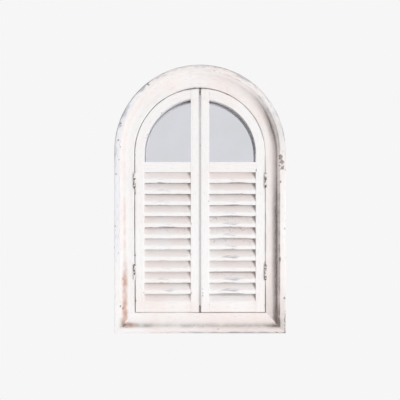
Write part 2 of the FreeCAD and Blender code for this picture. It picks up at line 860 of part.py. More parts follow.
def make_hinge_stile(label):
    body = new_body(label)
    pad(body, "front", "door_back", rectangle("hinge_inner", "door_bottom", "door_edge", "spring"),
        "door_thickness")
    cut_slat_grooves(body, "hinge_inner", False)
    cut_mortises(body, "hinge_inner", False)
    bore_for_dowels(body, "plan", "spring", stile_joint_places(), reverse=True)
    for height in HINGE_HEIGHTS:
        bore(body, "side", "door_edge", hinge_screw_places(height), "small_screw_radius + screw_clearance",
             "small_screw_length + screw_clearance", reverse=True)
    return body


def make_meeting_stile(label):
    body = new_body(label)
    pad(body, "front", "door_back", [
        ("meeting_edge", "door_bottom"),
        ("meeting_inner", "door_bottom"),
        ("meeting_inner", "spring + sqrt(door_edge ^ 2 - meeting_inner ^ 2)", "door_edge", "left"),
        ("meeting_edge", "spring + sqrt(door_edge ^ 2 - meeting_edge ^ 2)"),
    ], "door_thickness")
    cut_slat_grooves(body, "meeting_inner", True)
    cut_mortises(body, "meeting_inner", True)
    bore_for_dowels(body, "side", "meeting_inner", arch_joint_places(), reverse=True)
    bore(body, "front", "door_back", [("meeting_middle", "magnet_height")],
         "magnet_radius + magnet_clearance", "strike_thickness", reverse=True)
    return body


def make_arch_rail(label):
    body = new_body(label)
    pad(body, "front", "door_back", [
        ("hinge_inner", "spring"),
        ("door_edge", "spring", "door_edge", "left"),
        ("meeting_inner", "spring + sqrt(door_edge ^ 2 - meeting_inner ^ 2)"),
        ("meeting_inner", "spring + sqrt(hinge_inner ^ 2 - meeting_inner ^ 2)", "hinge_inner", "right"),
    ], "door_thickness")
    bore_for_dowels(body, "plan", "spring", stile_joint_places())
    bore_for_dowels(body, "side", "meeting_inner", arch_joint_places())
    return body


def add_tenons(body, low, high):
    """One tongue right through the rail stands out of both its ends as the tenons."""
    pad(body, "side", "hinge_inner + tenon_length", rectangle(
        "door_middle - tenon_thickness / 2", f"{low} + tenon_shoulder",
        "door_middle + tenon_thickness / 2", f"{high} - tenon_shoulder"),
        "hinge_inner - meeting_inner + 2 * tenon_length")


def make_rail(label, section, low, high):
    body = new_body(label)
    pad(body, "side", "hinge_inner", section, "hinge_inner - meeting_inner")
    add_tenons(body, low, high)
    return body


def make_mid_rail(label):
    return make_rail(label, [
        ("door_back", "louvre_top + mid_rail_bevel"),
        ("door_front", "louvre_top"),
        ("door_front", "mid_rail_top"),
        ("door_back", "mid_rail_top"),
    ], "mid_rail_bed", "mid_rail_top")


def make_bottom_rail(label):
    return make_rail(label, [
        ("door_back", "door_bottom"),
        ("door_front", "door_bottom"),
        ("door_front", "louvre_bottom"),
        ("slat_front", "louvre_bottom"),
        ("door_back", "louvre_bottom + (slat_front - door_back) * tan(slat_slope)"),
    ], "door_bottom", "louvre_bottom")


def make_slat(label, index):
    body = new_body(label)
    pad(body, "side", "hinge_inner + slat_housing",
        slat_section(f"louvre_bottom + {index} * slat_pitch", "0"),
        "hinge_inner - meeting_inner + 2 * slat_housing")
    return body


def make_door_dowels(label):
    dowels = upright_dowels(f"{label}_stile", stile_joint_places())
    dowels += level_dowels(f"{label}_arch", "meeting_inner", arch_joint_places())
    return group(label, dowels)


def make_door_leaves(label):
    return group(label, [make_hinge_leaf(f"{label}_{index}", height, "door")
                         for index, height in enumerate(HINGE_HEIGHTS)])


def make_strike(label):
    strike = rod(label, ("meeting_middle", "door_back", "magnet_height"), "forward",
                 "magnet_radius", "strike_thickness")
    strike.Label = label
    return strike


# The whole part

DOOR_PIECES = {
    "hinge_stile": make_hinge_stile,
    "meeting_stile": make_meeting_stile,
    "arch_rail": make_arch_rail,
    "mid_rail": make_mid_rail,
    "bottom_rail": make_bottom_rail,
    "dowels": make_door_dowels,
    "hinge_leaves": make_door_leaves,
    "hinge_screws": lambda label: group(label, make_hinge_screws(label, "door")),
    "strike": make_strike,
}

SIDE_PIECES = {
    "moulding_jamb": make_moulding_jamb,
    "moulding_arch": make_moulding_arch,
    "back_stile": make_back_stile,
    "back_arch": make_back_arch,
}

pieces = []
for name, make in SIDE_PIECES.items():
    right_piece = make(f"{name}_right")
    pieces += [right_piece, mirror_image(f"{name}_left", right_piece)]

pieces += [
    make_moulding_sill("moulding_sill"),
    make_back_rail("back_rail"),
    make_mirror_glass("mirror_glass"),
    make_back_panel("back_panel"),
    make_panel_screws("panel_screws"),
    make_frame_screws("frame_screws"),
    make_frame_dowels("frame_dowels"),
    both_sides("hanger_plates", [make_hanger_plate("hanger_plate")]),
    make_magnets("door_magnets"),
    both_sides("frame_hinge_leaves", [make_hinge_leaf(f"frame_leaf_{index}", height, "frame")
                                      for index, height in enumerate(HINGE_HEIGHTS)]),
    make_hinge_pins("hinge_pins"),
    make_frame_small_screws("frame_small_screws"),
]

for name, make in DOOR_PIECES.items():
    right_piece = make(f"door_right_{name}")
    pieces += [right_piece, mirror_image(f"door_left_{name}", right_piece)]

for index in range(1, SIZES["slat_count"] + 1):
    right_piece = make_slat(f"door_right_slat_{index:02d}", index)
    pieces += [right_piece, mirror_image(f"door_left_slat_{index:02d}", right_piece)]

doc.recompute()

# Checks before anything is written
for item in doc.Objects:
    if "Invalid" in item.State or "Error" in item.State:
        raise RuntimeError(f"{item.Label} failed: {item.State}")
    if item.TypeId == "PartDesign::Pocket" and item.Shape.Volume >= item.BaseFeature.Shape.Volume:
        raise RuntimeError(f"{item.Label} cuts nothing")
for piece in pieces:
    if piece.Shape.isNull() or not piece.Shape.isValid():
        raise RuntimeError(f"{piece.Label} has no valid shape")

os.makedirs("parts", exist_ok=True)
for piece in pieces:
    piece.Shape.exportStep(f"parts/{piece.Label}.step")
print(len(pieces), "pieces")
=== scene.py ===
import json
import math
import bpy
import numpy as np
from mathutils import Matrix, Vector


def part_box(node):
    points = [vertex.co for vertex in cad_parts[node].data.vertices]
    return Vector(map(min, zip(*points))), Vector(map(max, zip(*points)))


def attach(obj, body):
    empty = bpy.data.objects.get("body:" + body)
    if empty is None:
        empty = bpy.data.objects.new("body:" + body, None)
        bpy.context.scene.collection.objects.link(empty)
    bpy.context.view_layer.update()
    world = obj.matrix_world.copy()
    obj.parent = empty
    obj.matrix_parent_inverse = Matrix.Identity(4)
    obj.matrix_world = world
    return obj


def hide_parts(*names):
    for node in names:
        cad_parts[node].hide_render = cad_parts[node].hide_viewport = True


# Looks of the arched garden mirror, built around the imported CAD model.
# Metres in the CAD's frame: +X right, -Y to the front, +Z up. Depths are measured forward from the wall.

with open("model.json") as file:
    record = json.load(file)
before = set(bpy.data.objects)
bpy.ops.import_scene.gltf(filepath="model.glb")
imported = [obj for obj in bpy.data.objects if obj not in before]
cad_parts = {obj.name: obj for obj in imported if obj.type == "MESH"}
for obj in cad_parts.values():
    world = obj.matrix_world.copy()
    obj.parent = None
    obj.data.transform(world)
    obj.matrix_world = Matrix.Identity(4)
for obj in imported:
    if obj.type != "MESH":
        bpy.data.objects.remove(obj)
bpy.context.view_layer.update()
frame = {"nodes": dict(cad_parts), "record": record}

# Places read from the frame
JAMB_LOW, JAMB_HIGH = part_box("moulding_jamb_right")
OUTER = JAMB_HIGH.x
OPENING = JAMB_LOW.x
FOOT = JAMB_LOW.z
SPRING = JAMB_HIGH.z
RIM_FRONT = -JAMB_LOW.y
FRAME_BACK = -JAMB_HIGH.y
FRAME_WIDTH = OUTER - OPENING
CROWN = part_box("moulding_arch_right")[1].z
OUTER_SPRING = CROWN - OUTER
STILE_LOW, STILE_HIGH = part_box("door_right_hinge_stile")
DOOR_EDGE = STILE_HIGH.x
HINGE_INNER = STILE_LOW.x
DOOR_FOOT = STILE_LOW.z
DOOR_FRONT = -STILE_LOW.y
DOOR_BACK = -STILE_HIGH.y
MEETING_LOW, MEETING_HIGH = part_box("door_right_meeting_stile")
MEETING_EDGE = MEETING_LOW.x
MEETING_INNER = MEETING_HIGH.x
MID_LOW, MID_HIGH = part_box("door_right_mid_rail")
LOUVRE_TOP = MID_LOW.z
MID_RAIL_TOP = MID_HIGH.z
SLAT_LOW, SLAT_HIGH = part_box("door_right_slat_01")
SLAT_FRONT = -SLAT_LOW.y
SLAT_BACK = -SLAT_HIGH.y
SLAT_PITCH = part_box("door_right_slat_02")[0].z - SLAT_LOW.z

# Sizes that the boxes don't give
RIM_WIDTH = 0.017
RIM_ROUND = 0.004
SHARP_ROUND = 0.001
BEAD_RADIUS = 0.009
COVE_RADIUS = 0.026
COVE_ANGLE = math.radians(60)
COVE_END = RIM_WIDTH + (BEAD_RADIUS + COVE_RADIUS) * math.sin(COVE_ANGLE)
BOTTOM_RAIL_HEIGHT = 0.0305
MID_RAIL_BEVEL = 0.0107
MID_RAIL_DROP = 0.0016
SLAT_SLOPE = math.radians(56)
NOSE_HEIGHT = 0.0122
ARRIS = 0.0009
SLAT_CREST_RUN = 0.0016
SLAT_EDGE_RUN = 0.0006
LIP_CUT = 0.0018

# Mesh steps, along the pieces and round their sections
ALONG_STEP = 0.0022
SLAT_STEP = 0.0016
AROUND_STEP = 0.002
PLANK_STEP = 1.5 * AROUND_STEP
HIDDEN_STEP = 0.007
BEND_POINTS = 4
RIM_POINTS = 6
SIDE_POINTS = 6
SOFT_CREASE = math.radians(50)
FRAME_CREASE = math.radians(24)

# Wear. A noise has the size of its lumps and its seed, then come how deep it bites and its thresholds.
CHIP_NOISE = (0.011, 11)
CHIP_DEPTH = 0.0007
CHIP_RANGE = (0.66, 0.73)
EDGE_HOLD = 0.3
EDGE_REACH = 0.0035
WAVE_NOISE = (0.05, 21)
WAVE_DEPTH = 0.0003
RAG_NOISE = (0.006, 71)
LIP_BITE = 0.0026
LIP_RAG = 0.0013
CREST_BITE = 0.0012
CREST_REACH = 0.0048
# How exposed the edges of a section are, in their order round it
FRAME_EXPOSURES = (0.8, 0.8, 0.8, 0.9, 0.6)
PLANK_EXPOSURES = (0.5, 0.5, 1.0, 1.0)
MID_RAIL_EXPOSURES = (0.3, 0.7, 0.7, 0.3)
BOTTOM_RAIL_EXPOSURES = (0.3, 0.6, 0.4, 0.3)
SLAT_EXPOSURES = (0.4, 0.6, 0.1, 0.1, 0.1)
LIP_EXPOSURE = 0.55

BODY_OF = {node: body for body, nodes in frame["record"]["behaviour"]["bodies"].items() for node in nodes}


# Noise by place, so that neighbouring pieces wear alike

HASH_STEPS = np.array([73856093, 19349663, 83492791], dtype=np.int64)
HASH_MIX = 1274126177
HASH_SHIFTS = (13, 15)
HASH_BITS = 16
HASH_MASK = 0xFFFF


def lattice(cells, seed):
    """A fixed random number from 0 to 1 for each whole-number cell."""
    code = (cells * HASH_STEPS).sum(-1) + seed * HASH_MIX
    for shift in HASH_SHIFTS:
        code = (code ^ (code >> shift)) * HASH_MIX
    return ((code >> HASH_BITS) & HASH_MASK) / HASH_MASK


def lumps(points, size, seed):
    """Smooth noise from 0 to 1, with lumps of about the given size."""
    scaled = points / size
    cell = np.floor(scaled).astype(np.int64)
    part = scaled - cell
    part = part * part * (3 - 2 * part)
    total = np.zeros(points.shape[:-1])
    for corner in np.ndindex(2, 2, 2):
        weight = np.where(np.array(corner) == 1, part, 1 - part).prod(-1)
        total += weight * lattice(cell + np.array(corner), seed)
    return total


def fractal(points, size, seed):
    """Three octaves of lumps, from 0 to 1."""
    octaves = [lumps(points, size / 2 ** octave, seed + octave) / 2 ** octave for octave in range(3)]
    return sum(octaves) / sum(1 / 2 ** octave for octave in range(3))


def smooth(value, low, high):
    """0 up to the low mark, rising smoothly to 1 at the high one."""
    part = np.clip((value - low) / (high - low), 0, 1)
    return part * part * (3 - 2 * part)


def below(value, start, full):
    """0 down to the start, rising smoothly to 1 at the full mark below it."""
    return smooth(-value, -start, -full)


def bell(value, middle, width):
    """1 at the middle, falling away over the width."""
    return np.exp(-((value - middle) / width) ** 2)


def weighted(shares, *marks):
    """The first share, and of each mark its own share after that."""
    return sum((share * mark for share, mark in zip(shares[1:], marks)), shares[0])


def lens(share, start, end):
    """A hump from 0 at the start to 1 midway and 0 at the end."""
    return np.sin(np.pi * np.clip((share - start) / (end - start), 0, 1))


# Sections, as their points' two coordinates and how exposed each point is to wear

def spaced(start, end, step):
    """Points from start up to but without end."""
    start, end = np.array(start), np.array(end)
    count = max(1, round(float(np.linalg.norm(end - start)) / step))
    return start + (end - start) * np.linspace(0, 1, count, endpoint=False)[:, None]


def arc(centre, radius, first, last, step):
    count = max(2, round(abs(last - first) * radius / step))
    angles = np.linspace(first, last, count, endpoint=False)
    return np.array(centre) + radius * np.stack([np.cos(angles), np.sin(angles)], -1)


def exposure(points, arrises, strengths):
    """1 at an arris of full strength, falling away from it."""
    reach = [strength * np.exp(-np.linalg.norm(points - np.array(spot), axis=-1) / EDGE_REACH)
             for spot, strength in zip(arrises, strengths)]
    return np.max(reach, 0)


def moulding_section(rim_round=RIM_ROUND):
    """The moulding as (distance from the outer edge, depth), from the band's inner edge out and back.
    The bead is worn down to a bevel between the cove and the rim."""
    round_step = AROUND_STEP / 2 * rim_round / RIM_ROUND
    rim_step = (RIM_WIDTH - ARRIS / 2 - rim_round) / RIM_POINTS
    side_step = (RIM_FRONT - rim_round - FRAME_BACK) / SIDE_POINTS
    quarter = math.pi / 2
    bead_low = (RIM_WIDTH + BEAD_RADIUS * math.sin(COVE_ANGLE),
                RIM_FRONT - BEAD_RADIUS * (1 - math.cos(COVE_ANGLE)))
    round_middle = (rim_round * (1 - math.cos(quarter / 2)),
                    RIM_FRONT - rim_round * (1 - math.sin(quarter / 2)))
    points = np.concatenate([
        arc((FRAME_WIDTH - ARRIS, DOOR_FRONT - ARRIS), ARRIS, 0, quarter, ARRIS / 2),
        spaced((FRAME_WIDTH - ARRIS, DOOR_FRONT), (COVE_END, DOOR_FRONT), AROUND_STEP),
        arc((COVE_END, DOOR_FRONT + COVE_RADIUS), COVE_RADIUS, -quarter, -quarter - COVE_ANGLE, AROUND_STEP),
        spaced(bead_low, (RIM_WIDTH, RIM_FRONT), AROUND_STEP),
        spaced((RIM_WIDTH, RIM_FRONT), (RIM_WIDTH - ARRIS / 2, RIM_FRONT), ARRIS),
        spaced((RIM_WIDTH - ARRIS / 2, RIM_FRONT), (rim_round, RIM_FRONT), rim_step),
        arc((rim_round, RIM_FRONT - rim_round), rim_round, quarter, 2 * quarter, round_step),
        spaced((0, RIM_FRONT - rim_round), (0, FRAME_BACK), side_step),
        spaced((0, FRAME_BACK), (FRAME_WIDTH, FRAME_BACK), HIDDEN_STEP),
        spaced((FRAME_WIDTH, FRAME_BACK), (FRAME_WIDTH, DOOR_FRONT - ARRIS), HIDDEN_STEP),
    ])
    arrises = [(FRAME_WIDTH, DOOR_FRONT), bead_low, (RIM_WIDTH, RIM_FRONT), round_middle,
               (0, FRAME_BACK)]
    return points.T[:, None], exposure(points, arrises, FRAME_EXPOSURES)[None]


def sharpened_section(share):
    """The moulding's section at each station, sharper at its outer edge where the share is more."""
    points, edge = moulding_section()
    sharp, _ = moulding_section(SHARP_ROUND)
    return points + (sharp - points) * share, edge


def rounded(corners, runs, strengths, step):
    """Outlines of (station, corner, 2) corners, each bent over its run, and their exposure to wear."""
    forward = np.roll(corners, -1, 1) - corners
    lengths = np.linalg.norm(forward, axis=-1)
    forward = forward / lengths[..., None]
    runs = np.broadcast_to(runs, lengths.shape)[..., None]
    enter = corners - np.roll(forward, 1, 1) * runs
    leave = corners + forward * runs
    points, edges = [], []
    for index, strength in enumerate(strengths):
        following = (index + 1) % len(strengths)
        bend = np.linspace(0, 1, BEND_POINTS)[None, :, None]
        here = corners[:, index, None]
        points.append((1 - bend) ** 2 * enter[:, index, None] + 2 * bend * (1 - bend) * here
                      + bend ** 2 * leave[:, index, None])
        edges.append(np.full(points[-1].shape[:2], float(strength)))
        count = max(1, round(float(lengths[:, index].mean()) / step))
        share = np.linspace(0, 1, count + 2)[None, 1:-1, None]
        points.append(leave[:, index, None] * (1 - share) + enter[:, following, None] * share)
        run = lengths[:, index, None] * share[..., 0]
        rest = lengths[:, index, None] - run
        edges.append(np.maximum(strength * np.exp(-run / EDGE_REACH),
                                strengths[following] * np.exp(-rest / EDGE_REACH)))
    return np.moveaxis(np.concatenate(points, 1), -1, 0), np.concatenate(edges, 1)


def plank_section(inner, outer):
    """A four-sided section with eased arrises, as thick as the doors."""
    corners = [(inner, DOOR_BACK), (outer, DOOR_BACK), (outer, DOOR_FRONT), (inner, DOOR_FRONT)]
    return rounded(np.array([corners]), ARRIS, PLANK_EXPOSURES, PLANK_STEP)


# Marks of age, and painted shade, by their place. A line has its middle and width, inside the frame's outer
# edge. A range has where it starts and where it is full. A row of shares has what holds everywhere, then
# each mark's own.

# Heights where the marks of the foot and of the arch begin
LOW = -0.4
HIGH = 0.15
# How far the frame's edge faces sideways where it counts as left
LEFT_SIDE = (0.5, 0.9)
# Rusty run down the left, its pool on the sill and the faint trace above it
STAIN_LINE = (0.029, 0.008)
STAIN_FALL = (-0.16, -0.34)
STAIN_NOISE = (0.05, 31)
POOL_LINE = (0.023, 0.007)
POOL_ACROSS = (-0.14, -0.2)
POOL_RISE = 0.01
POOL_START = 0.0255
TRACE_LINE = (0.0285, 0.004)
TRACE_FADE = (-0.12, 0.0)
TRACE_SHARES = (0.42, -0.252)
STAIN_SHARES = (0.6, 0.65)
# Paint lost from the outer edge, and grey rub-through on the rim
EDGE_WEAR_DEPTH = 0.018
EDGE_WEAR_ACROSS = (0.22, 0.05)
EDGE_WEAR_RISE = (-0.05, 0.12)
EDGE_GRIME_WIDTH = 0.0025
SILL_WEAR_ACROSS = (-0.25, 0.1)
LEFT_EDGE_SHARES = (0.45, 0.55)
HIGH_EDGE_SHARES = (0.12, 0.88)
FRONT_EDGE_SHARES = (0.1, 0.9)
EDGE_GRIME_SHARES = (0.55, 0.5)
RUB_MIDDLE = 0.003
RUB_WIDTH = 0.008
RUB_NOISE = (0.03, 41)
RIGHT_RUB_RISE = (0.0, 0.14)
RIGHT_RUB_SIDE = (0.5, 0.8)
RUB_SHARES = (0.35, 0.65)
LEFT_RUB_SHARE = 0.2
RIGHT_RUB_SHARE = 0.6
# Darkening along the sill, which is painted shade towards its right-hand corner
SILL_LINE = (0.0215, 0.005)
SILL_RISE = 0.02
CORNER_FROM = 0.14
CORNER_DARK = 0.19
SILL_SHARES = (0.2, 0.3, 0.35, 0.22, 0.3)
SILL_EDGE_SHARE = 0.6
SILL_RIM_SHARES = (0.1, 0.08)
# Painted shade in the cove on the right, which faces away from the light
SHADE_START = (0.0164, 0.0169)
SHADE_FADE = (0.0285, 0.041)
SHADE_DEPTH = (0.0205, 0.0245)
SHADE_LINE = (0.0252, 0.0022)
SHADE_RIM_LINE = (0.0178, 0.0022)
SHADE_NOISE = (0.012, 91)
SHADE_FALL = (0.02, -0.12)
SHADE_LOW = -0.36
SHADE_HAUNCH = (0.13, 0.05)
HAUNCH_SHIFT = 0.0035
BEAD_LINE_WIDTH = 0.0014
LOW_VEIL_FROM = -0.28
LOW_VEIL_FADE = (0.05, 0.06)
SHADE_FALL_SHARES = (0.5, 0.5, 0.25, 0.3)
SHADE_LINE_SHARES = (0.6, 0.45)
SHADE_BAND_SHARES = (0.33, 0.22, 0.3)
LINE_SHARE = 0.5
LOW_VEIL_SHARE = 0.2
HAUNCH_VEIL_SHARE = 0.17
BEAD_LINE_SHARE = 0.35
BEAD_LINE_SIDE = (0.4, 0.3)
BEAD_LINE_RANGE = (0.35, 0.6)
SHADE_SIDE = (0.6, 0.95)
# Dirt and painted shade in the gaps round the doors, a veil of dirt on the frame's left side, and specks
GRIME_NOISE = (0.03, 51)
GRIME_REACH = 0.003
CROWN_REACH = 0.04
MEETING_TOP = -0.28
MEETING_SHARES = (0.55, 0.45)
GAP_SHARE = 0.2
VEIL_LINE = (0.036, 0.014)
VEIL_SIDE = (0.2, 0.8)
VEIL_SHARE = 0.1
PATCH_RANGE = (0.35, 0.7)
SPECK_NOISE = (0.004, 61)
SPECK_RANGE = (0.95, 1.04)
SPECK_SHARE = 0.8
CLUSTER_SHARE = 0.5
# Places where chips come more easily
RIGHT_WEAR = (0.19, 0.22)
LEFT_WEAR = (-0.18, -0.21)
CORNER_WEAR_LINE = (0.002, 0.006)
CORNER_FULL = -0.44
BEAD_WEAR_WIDTH = 0.006
BEAD_WEAR_FALL = (0.1, -0.1)
STAINED_WEAR_FROM = -0.2
WEAR_SHARES = (0.0, 0.2, 0.1, 0.12, 0.1)
# The paint's pink cast
COOL_RISE = (-0.3, -0.18)
WARM_FADE = (0.026, 0.034)
BLUSH_FOOT = (-0.3, -0.42)
BLUSH_TOP = 0.3
DOOR_BLUSH_FOOT = (-0.3, -0.38)
DOOR_BLUSH_TOP = 0.25
COOL_SHARE = 0.9
RIGHT_COOL_SHARE = 0.4
RIGHT_COOL_SIDE = (0.7, 0.9)
WARM_SHARE = 0.6
BLUSH_SHARES = (0.3, 0.45, 0.5, 0.25)
DOOR_BLUSH_SHARES = (0.05, 0.5, 0.3)
# Clusters of dark specks: across, height, reach across, reach up and strength
SPECK_CLUSTERS = (
    (0.232, 0.036, 0.009, 0.024, 1.4), (0.2275, -0.019, 0.003, 0.01, 0.9),
    (0.226, -0.239, 0.003, 0.012, 0.9), (0.2405, -0.415, 0.003, 0.04, 1.1),
    (0.23, -0.409, 0.003, 0.006, 1.1), (0.225, -0.449, 0.02, 0.003, 1.0),
    (0.24, -0.15, 0.003, 0.03, 0.6), (0.239, -0.354, 0.003, 0.02, 0.7),
    (-0.23, 0.091, 0.006, 0.02, 0.7), (-0.236, 0.007, 0.004, 0.01, 0.9),
    (-0.231, 0.045, 0.005, 0.012, 0.8), (-0.24, -0.15, 0.003, 0.025, 0.7),
    (-0.231, -0.221, 0.005, 0.012, 0.6), (-0.218, -0.383, 0.004, 0.008, 1.0),
    (-0.2145, -0.4275, 0.006, 0.006, 1.0), (-0.177, -0.414, 0.005, 0.003, 0.8),
    (0.048, -0.438, 0.01, 0.003, 0.7), (0.0, -0.43, 0.02, 0.003, 0.6),
    (-0.146, 0.256, 0.006, 0.006, 0.9), (-0.078, 0.286, 0.006, 0.004, 0.7),
    (-0.223, 0.143, 0.006, 0.015, 0.8), (0.045, 0.295, 0.012, 0.004, 0.6),
    (-0.01, 0.273, 0.004, 0.003, 0.8), (0.0085, -0.344, 0.003, 0.02, 0.7),
)


def parts_of(points):
    """Across and height of the points, and how far they lie inside the frame's outer edge."""
    across, _, height = np.moveaxis(points, -1, 0)
    radial = OUTER - np.hypot(across, np.maximum(height - OUTER_SPRING, 0))
    return across, height, np.minimum(radial, height - FOOT)


def side_of(points):
    """From -1 where the frame's nearest outer edge faces left to 1 where it faces right."""
    across, height, inset = parts_of(points)
    facing = across / np.maximum(np.hypot(across, np.maximum(height - OUTER_SPRING, 0)), ARRIS)
    return np.where(inset < height - FOOT, facing, 0)


def on_left(points):
    """1 down the frame's left side, and 0 on the right, at the crown and on the sill."""
    return smooth(-side_of(points), *LEFT_SIDE)


def from_door_edge(points):
    """How far a point lies from the gap round the doors, seen from the front."""
    across, height, _ = parts_of(points)
    gap = (OPENING + DOOR_EDGE) / 2
    radial = np.abs(gap - np.hypot(across, np.maximum(height - SPRING, 0)))
    return np.where(height < DOOR_FOOT, np.abs(height - DOOR_FOOT), radial)


def round_edge(points):
    """How far the outer edge has lost its paint: most on the upper left, hardly on the right."""
    across, height, _ = parts_of(points)
    front = smooth(-points[..., 1], RIM_FRONT - EDGE_WEAR_DEPTH, RIM_FRONT - RIM_ROUND)
    left = below(across, *EDGE_WEAR_ACROSS)
    high = smooth(height, *EDGE_WEAR_RISE)
    upper = weighted(LEFT_EDGE_SHARES, left) * weighted(HIGH_EDGE_SHARES, high)
    upper = upper * np.where(height < 0, left, 1)
    sill = smooth(FOOT + 2 * RIM_ROUND - height, 0, RIM_ROUND) * smooth(across, *SILL_WEAR_ACROSS)
    return np.maximum(upper, sill) * weighted(FRONT_EDGE_SHARES, front)


def stain_at(points):
    """The rusty run in the cove's lower left corner, with a faint line of it all the way up."""
    across, height, inset = parts_of(points)
    left = on_left(points)
    run = left * below(height, *STAIN_FALL) * bell(inset, *STAIN_LINE)
    pool = below(across, *POOL_ACROSS) * smooth(LOW - height, 0, POOL_RISE)
    pool = pool * smooth(OUTER + across, RIM_WIDTH, POOL_START) * bell(inset, *POOL_LINE)
    patch = weighted(STAIN_SHARES, fractal(points, *STAIN_NOISE))
    trace = left * bell(inset, *TRACE_LINE) * weighted(TRACE_SHARES, smooth(height, *TRACE_FADE))
    return np.maximum(np.maximum(run, pool) * patch, trace)


def rub_at(points):
    """Grey rub-through on the rim: its outer half, less down the left, and the bead at the upper right."""
    _, height, inset = parts_of(points)
    patch = weighted(RUB_SHARES, smooth(fractal(points, *RUB_NOISE), *PATCH_RANGE))
    outer = bell(inset, RUB_MIDDLE, RUB_WIDTH) * round_edge(points)
    left = LEFT_RUB_SHARE * on_left(points) * (inset < RIM_WIDTH) * smooth(height, *COOL_RISE)
    right = RIGHT_RUB_SHARE * smooth(side_of(points), *RIGHT_RUB_SIDE)
    right = right * smooth(height, *RIGHT_RUB_RISE) * bell(inset, RIM_WIDTH, RUB_WIDTH)
    return np.maximum(outer, np.maximum(left, right)) * patch


def painted_shade_at(points):
    """Painted shade on the cove's right side, heaviest low down, with a ragged end at the rim."""
    _, height, inset = parts_of(points)
    side = side_of(points)
    ragged = fractal(points, *SHADE_NOISE)
    haunch = bell(height, *SHADE_HAUNCH)
    foot = below(height, SHADE_LOW, LOW)
    fall = weighted(SHADE_FALL_SHARES, below(height, *SHADE_FALL), haunch, foot)
    inner = inset - HAUNCH_SHIFT * haunch
    band = smooth(inset, *SHADE_START) * (1 - smooth(inner, *SHADE_FADE))
    line = np.maximum(weighted(SHADE_LINE_SHARES, fall) * bell(inner, *SHADE_LINE),
                      ragged * fall * bell(inset, *SHADE_RIM_LINE))
    band = fall * band * weighted(SHADE_BAND_SHARES, smooth(inset, *SHADE_DEPTH), ragged)
    veil = LOW_VEIL_SHARE * below(height, LOW_VEIL_FROM, LOW) * (1 - smooth(inset, *LOW_VEIL_FADE))
    veil = np.maximum(veil, HAUNCH_VEIL_SHARE * haunch * (inset < RIM_WIDTH))
    shade = np.maximum(band + LINE_SHARE * line, veil)
    bead = bell(inset, RIM_WIDTH, BEAD_LINE_WIDTH) * bell(side, *BEAD_LINE_SIDE)
    bead = BEAD_LINE_SHARE * bead * smooth(ragged, *BEAD_LINE_RANGE)
    return smooth(side, *SHADE_SIDE) * shade + bead * (height > SPRING)


def clusters_at(points):
    """How near a point is to the clusters of specks."""
    across, height, _ = parts_of(points)
    near = [strength * bell(across, middle, wide) * bell(height, level, tall)
            for middle, level, wide, tall, strength in SPECK_CLUSTERS]
    return np.max(near, 0) * smooth(-points[..., 1], DOOR_BACK, DOOR_FRONT)


def specks_at(points):
    near = CLUSTER_SHARE * clusters_at(points)
    return SPECK_SHARE * smooth(lumps(points, *SPECK_NOISE) + near, *SPECK_RANGE)


def gap_grime_and_shade(points, patch):
    """Dirt and painted shade along the gaps round and between the doors, most at the doors' feet and at the
    crown.
    """
    across, height, _ = parts_of(points)
    gap = bell(from_door_edge(points), 0, GRIME_REACH) * patch
    top = SPRING + DOOR_EDGE
    inside = smooth(height, DOOR_FOOT - GRIME_REACH, DOOR_FOOT) * (height < top)
    ends = below(height, MEETING_TOP, DOOR_FOOT) + smooth(height, HIGH, top)
    meeting = bell(across, 0, GRIME_REACH) * inside * weighted(MEETING_SHARES, ends)
    crown = bell(np.hypot(across, height - top), 0, CROWN_REACH) * gap
    return GAP_SHARE * gap + meeting + crown


def sill_darkening(points, patch):
    """Darker along the sill's bead and on its rim, most in the corner at the right, where it is painted
    shade running on from the cove.
    """
    across, height, inset = parts_of(points)
    corner = smooth(across, CORNER_FROM, OPENING + COVE_RADIUS)
    end = smooth(across, CORNER_DARK, OPENING + COVE_RADIUS)
    along = weighted(SILL_SHARES, patch, corner, smooth(-across, 0, OPENING), end)
    line = bell(inset, *SILL_LINE) * smooth(LOW - height, 0, SILL_RISE) * along
    edge = SILL_EDGE_SHARE * corner * smooth(FOOT + RIM_ROUND - height, 0, RIM_ROUND) * patch
    rim = (inset < RIM_WIDTH) * smooth(LOW - height, 0, RIM_WIDTH)
    rim = rim * weighted(SILL_RIM_SHARES, across / OUTER)
    return line + edge + rim


def grime_and_shade_at(points):
    """Dirt and painted shade on a painted piece, from 0 to 1."""
    _, _, inset = parts_of(points)
    patch = smooth(fractal(points, *GRIME_NOISE), *PATCH_RANGE)
    edge = bell(inset, 0, EDGE_GRIME_WIDTH) * round_edge(points) * weighted(EDGE_GRIME_SHARES, patch)
    veil = VEIL_SHARE * bell(inset, *VEIL_LINE) * smooth(-side_of(points), *VEIL_SIDE)
    marks = gap_grime_and_shade(points, patch) + sill_darkening(points, patch) + painted_shade_at(points) + specks_at(points)
    return np.clip(marks + edge + veil, 0, 1)


def worn_at(points):
    """Where chips come more easily: the lower right corner, the right-hand bead and the stained corner."""
    across, height, inset = parts_of(points)
    right = smooth(across, *RIGHT_WEAR)
    on_bead = bell(inset, RIM_WIDTH, BEAD_WEAR_WIDTH)
    corner = right * bell(inset, *CORNER_WEAR_LINE) * below(height, LOW, CORNER_FULL)
    bead = right * on_bead * below(height, *BEAD_WEAR_FALL)
    stained = below(across, *LEFT_WEAR) * on_bead * below(height, STAINED_WEAR_FROM, LOW)
    return weighted(WEAR_SHARES, corner, bead, stained, clusters_at(points))


def blush_at(points):
    """The frame's pink cast: least on the left rim, most on the right, on the sill and at the top."""
    across, height, inset = parts_of(points)
    rim = inset < RIM_WIDTH
    cool = COOL_SHARE * on_left(points) * rim * smooth(height, *COOL_RISE)
    cool = cool + RIGHT_COOL_SHARE * smooth(side_of(points), *RIGHT_COOL_SIDE) * rim
    warm = WARM_SHARE * on_left(points) * ~rim * (1 - smooth(inset, *WARM_FADE))
    foot, top = below(height, *BLUSH_FOOT), smooth(height, HIGH, BLUSH_TOP)
    return weighted(BLUSH_SHARES, across / OUTER, foot, top) + warm - cool


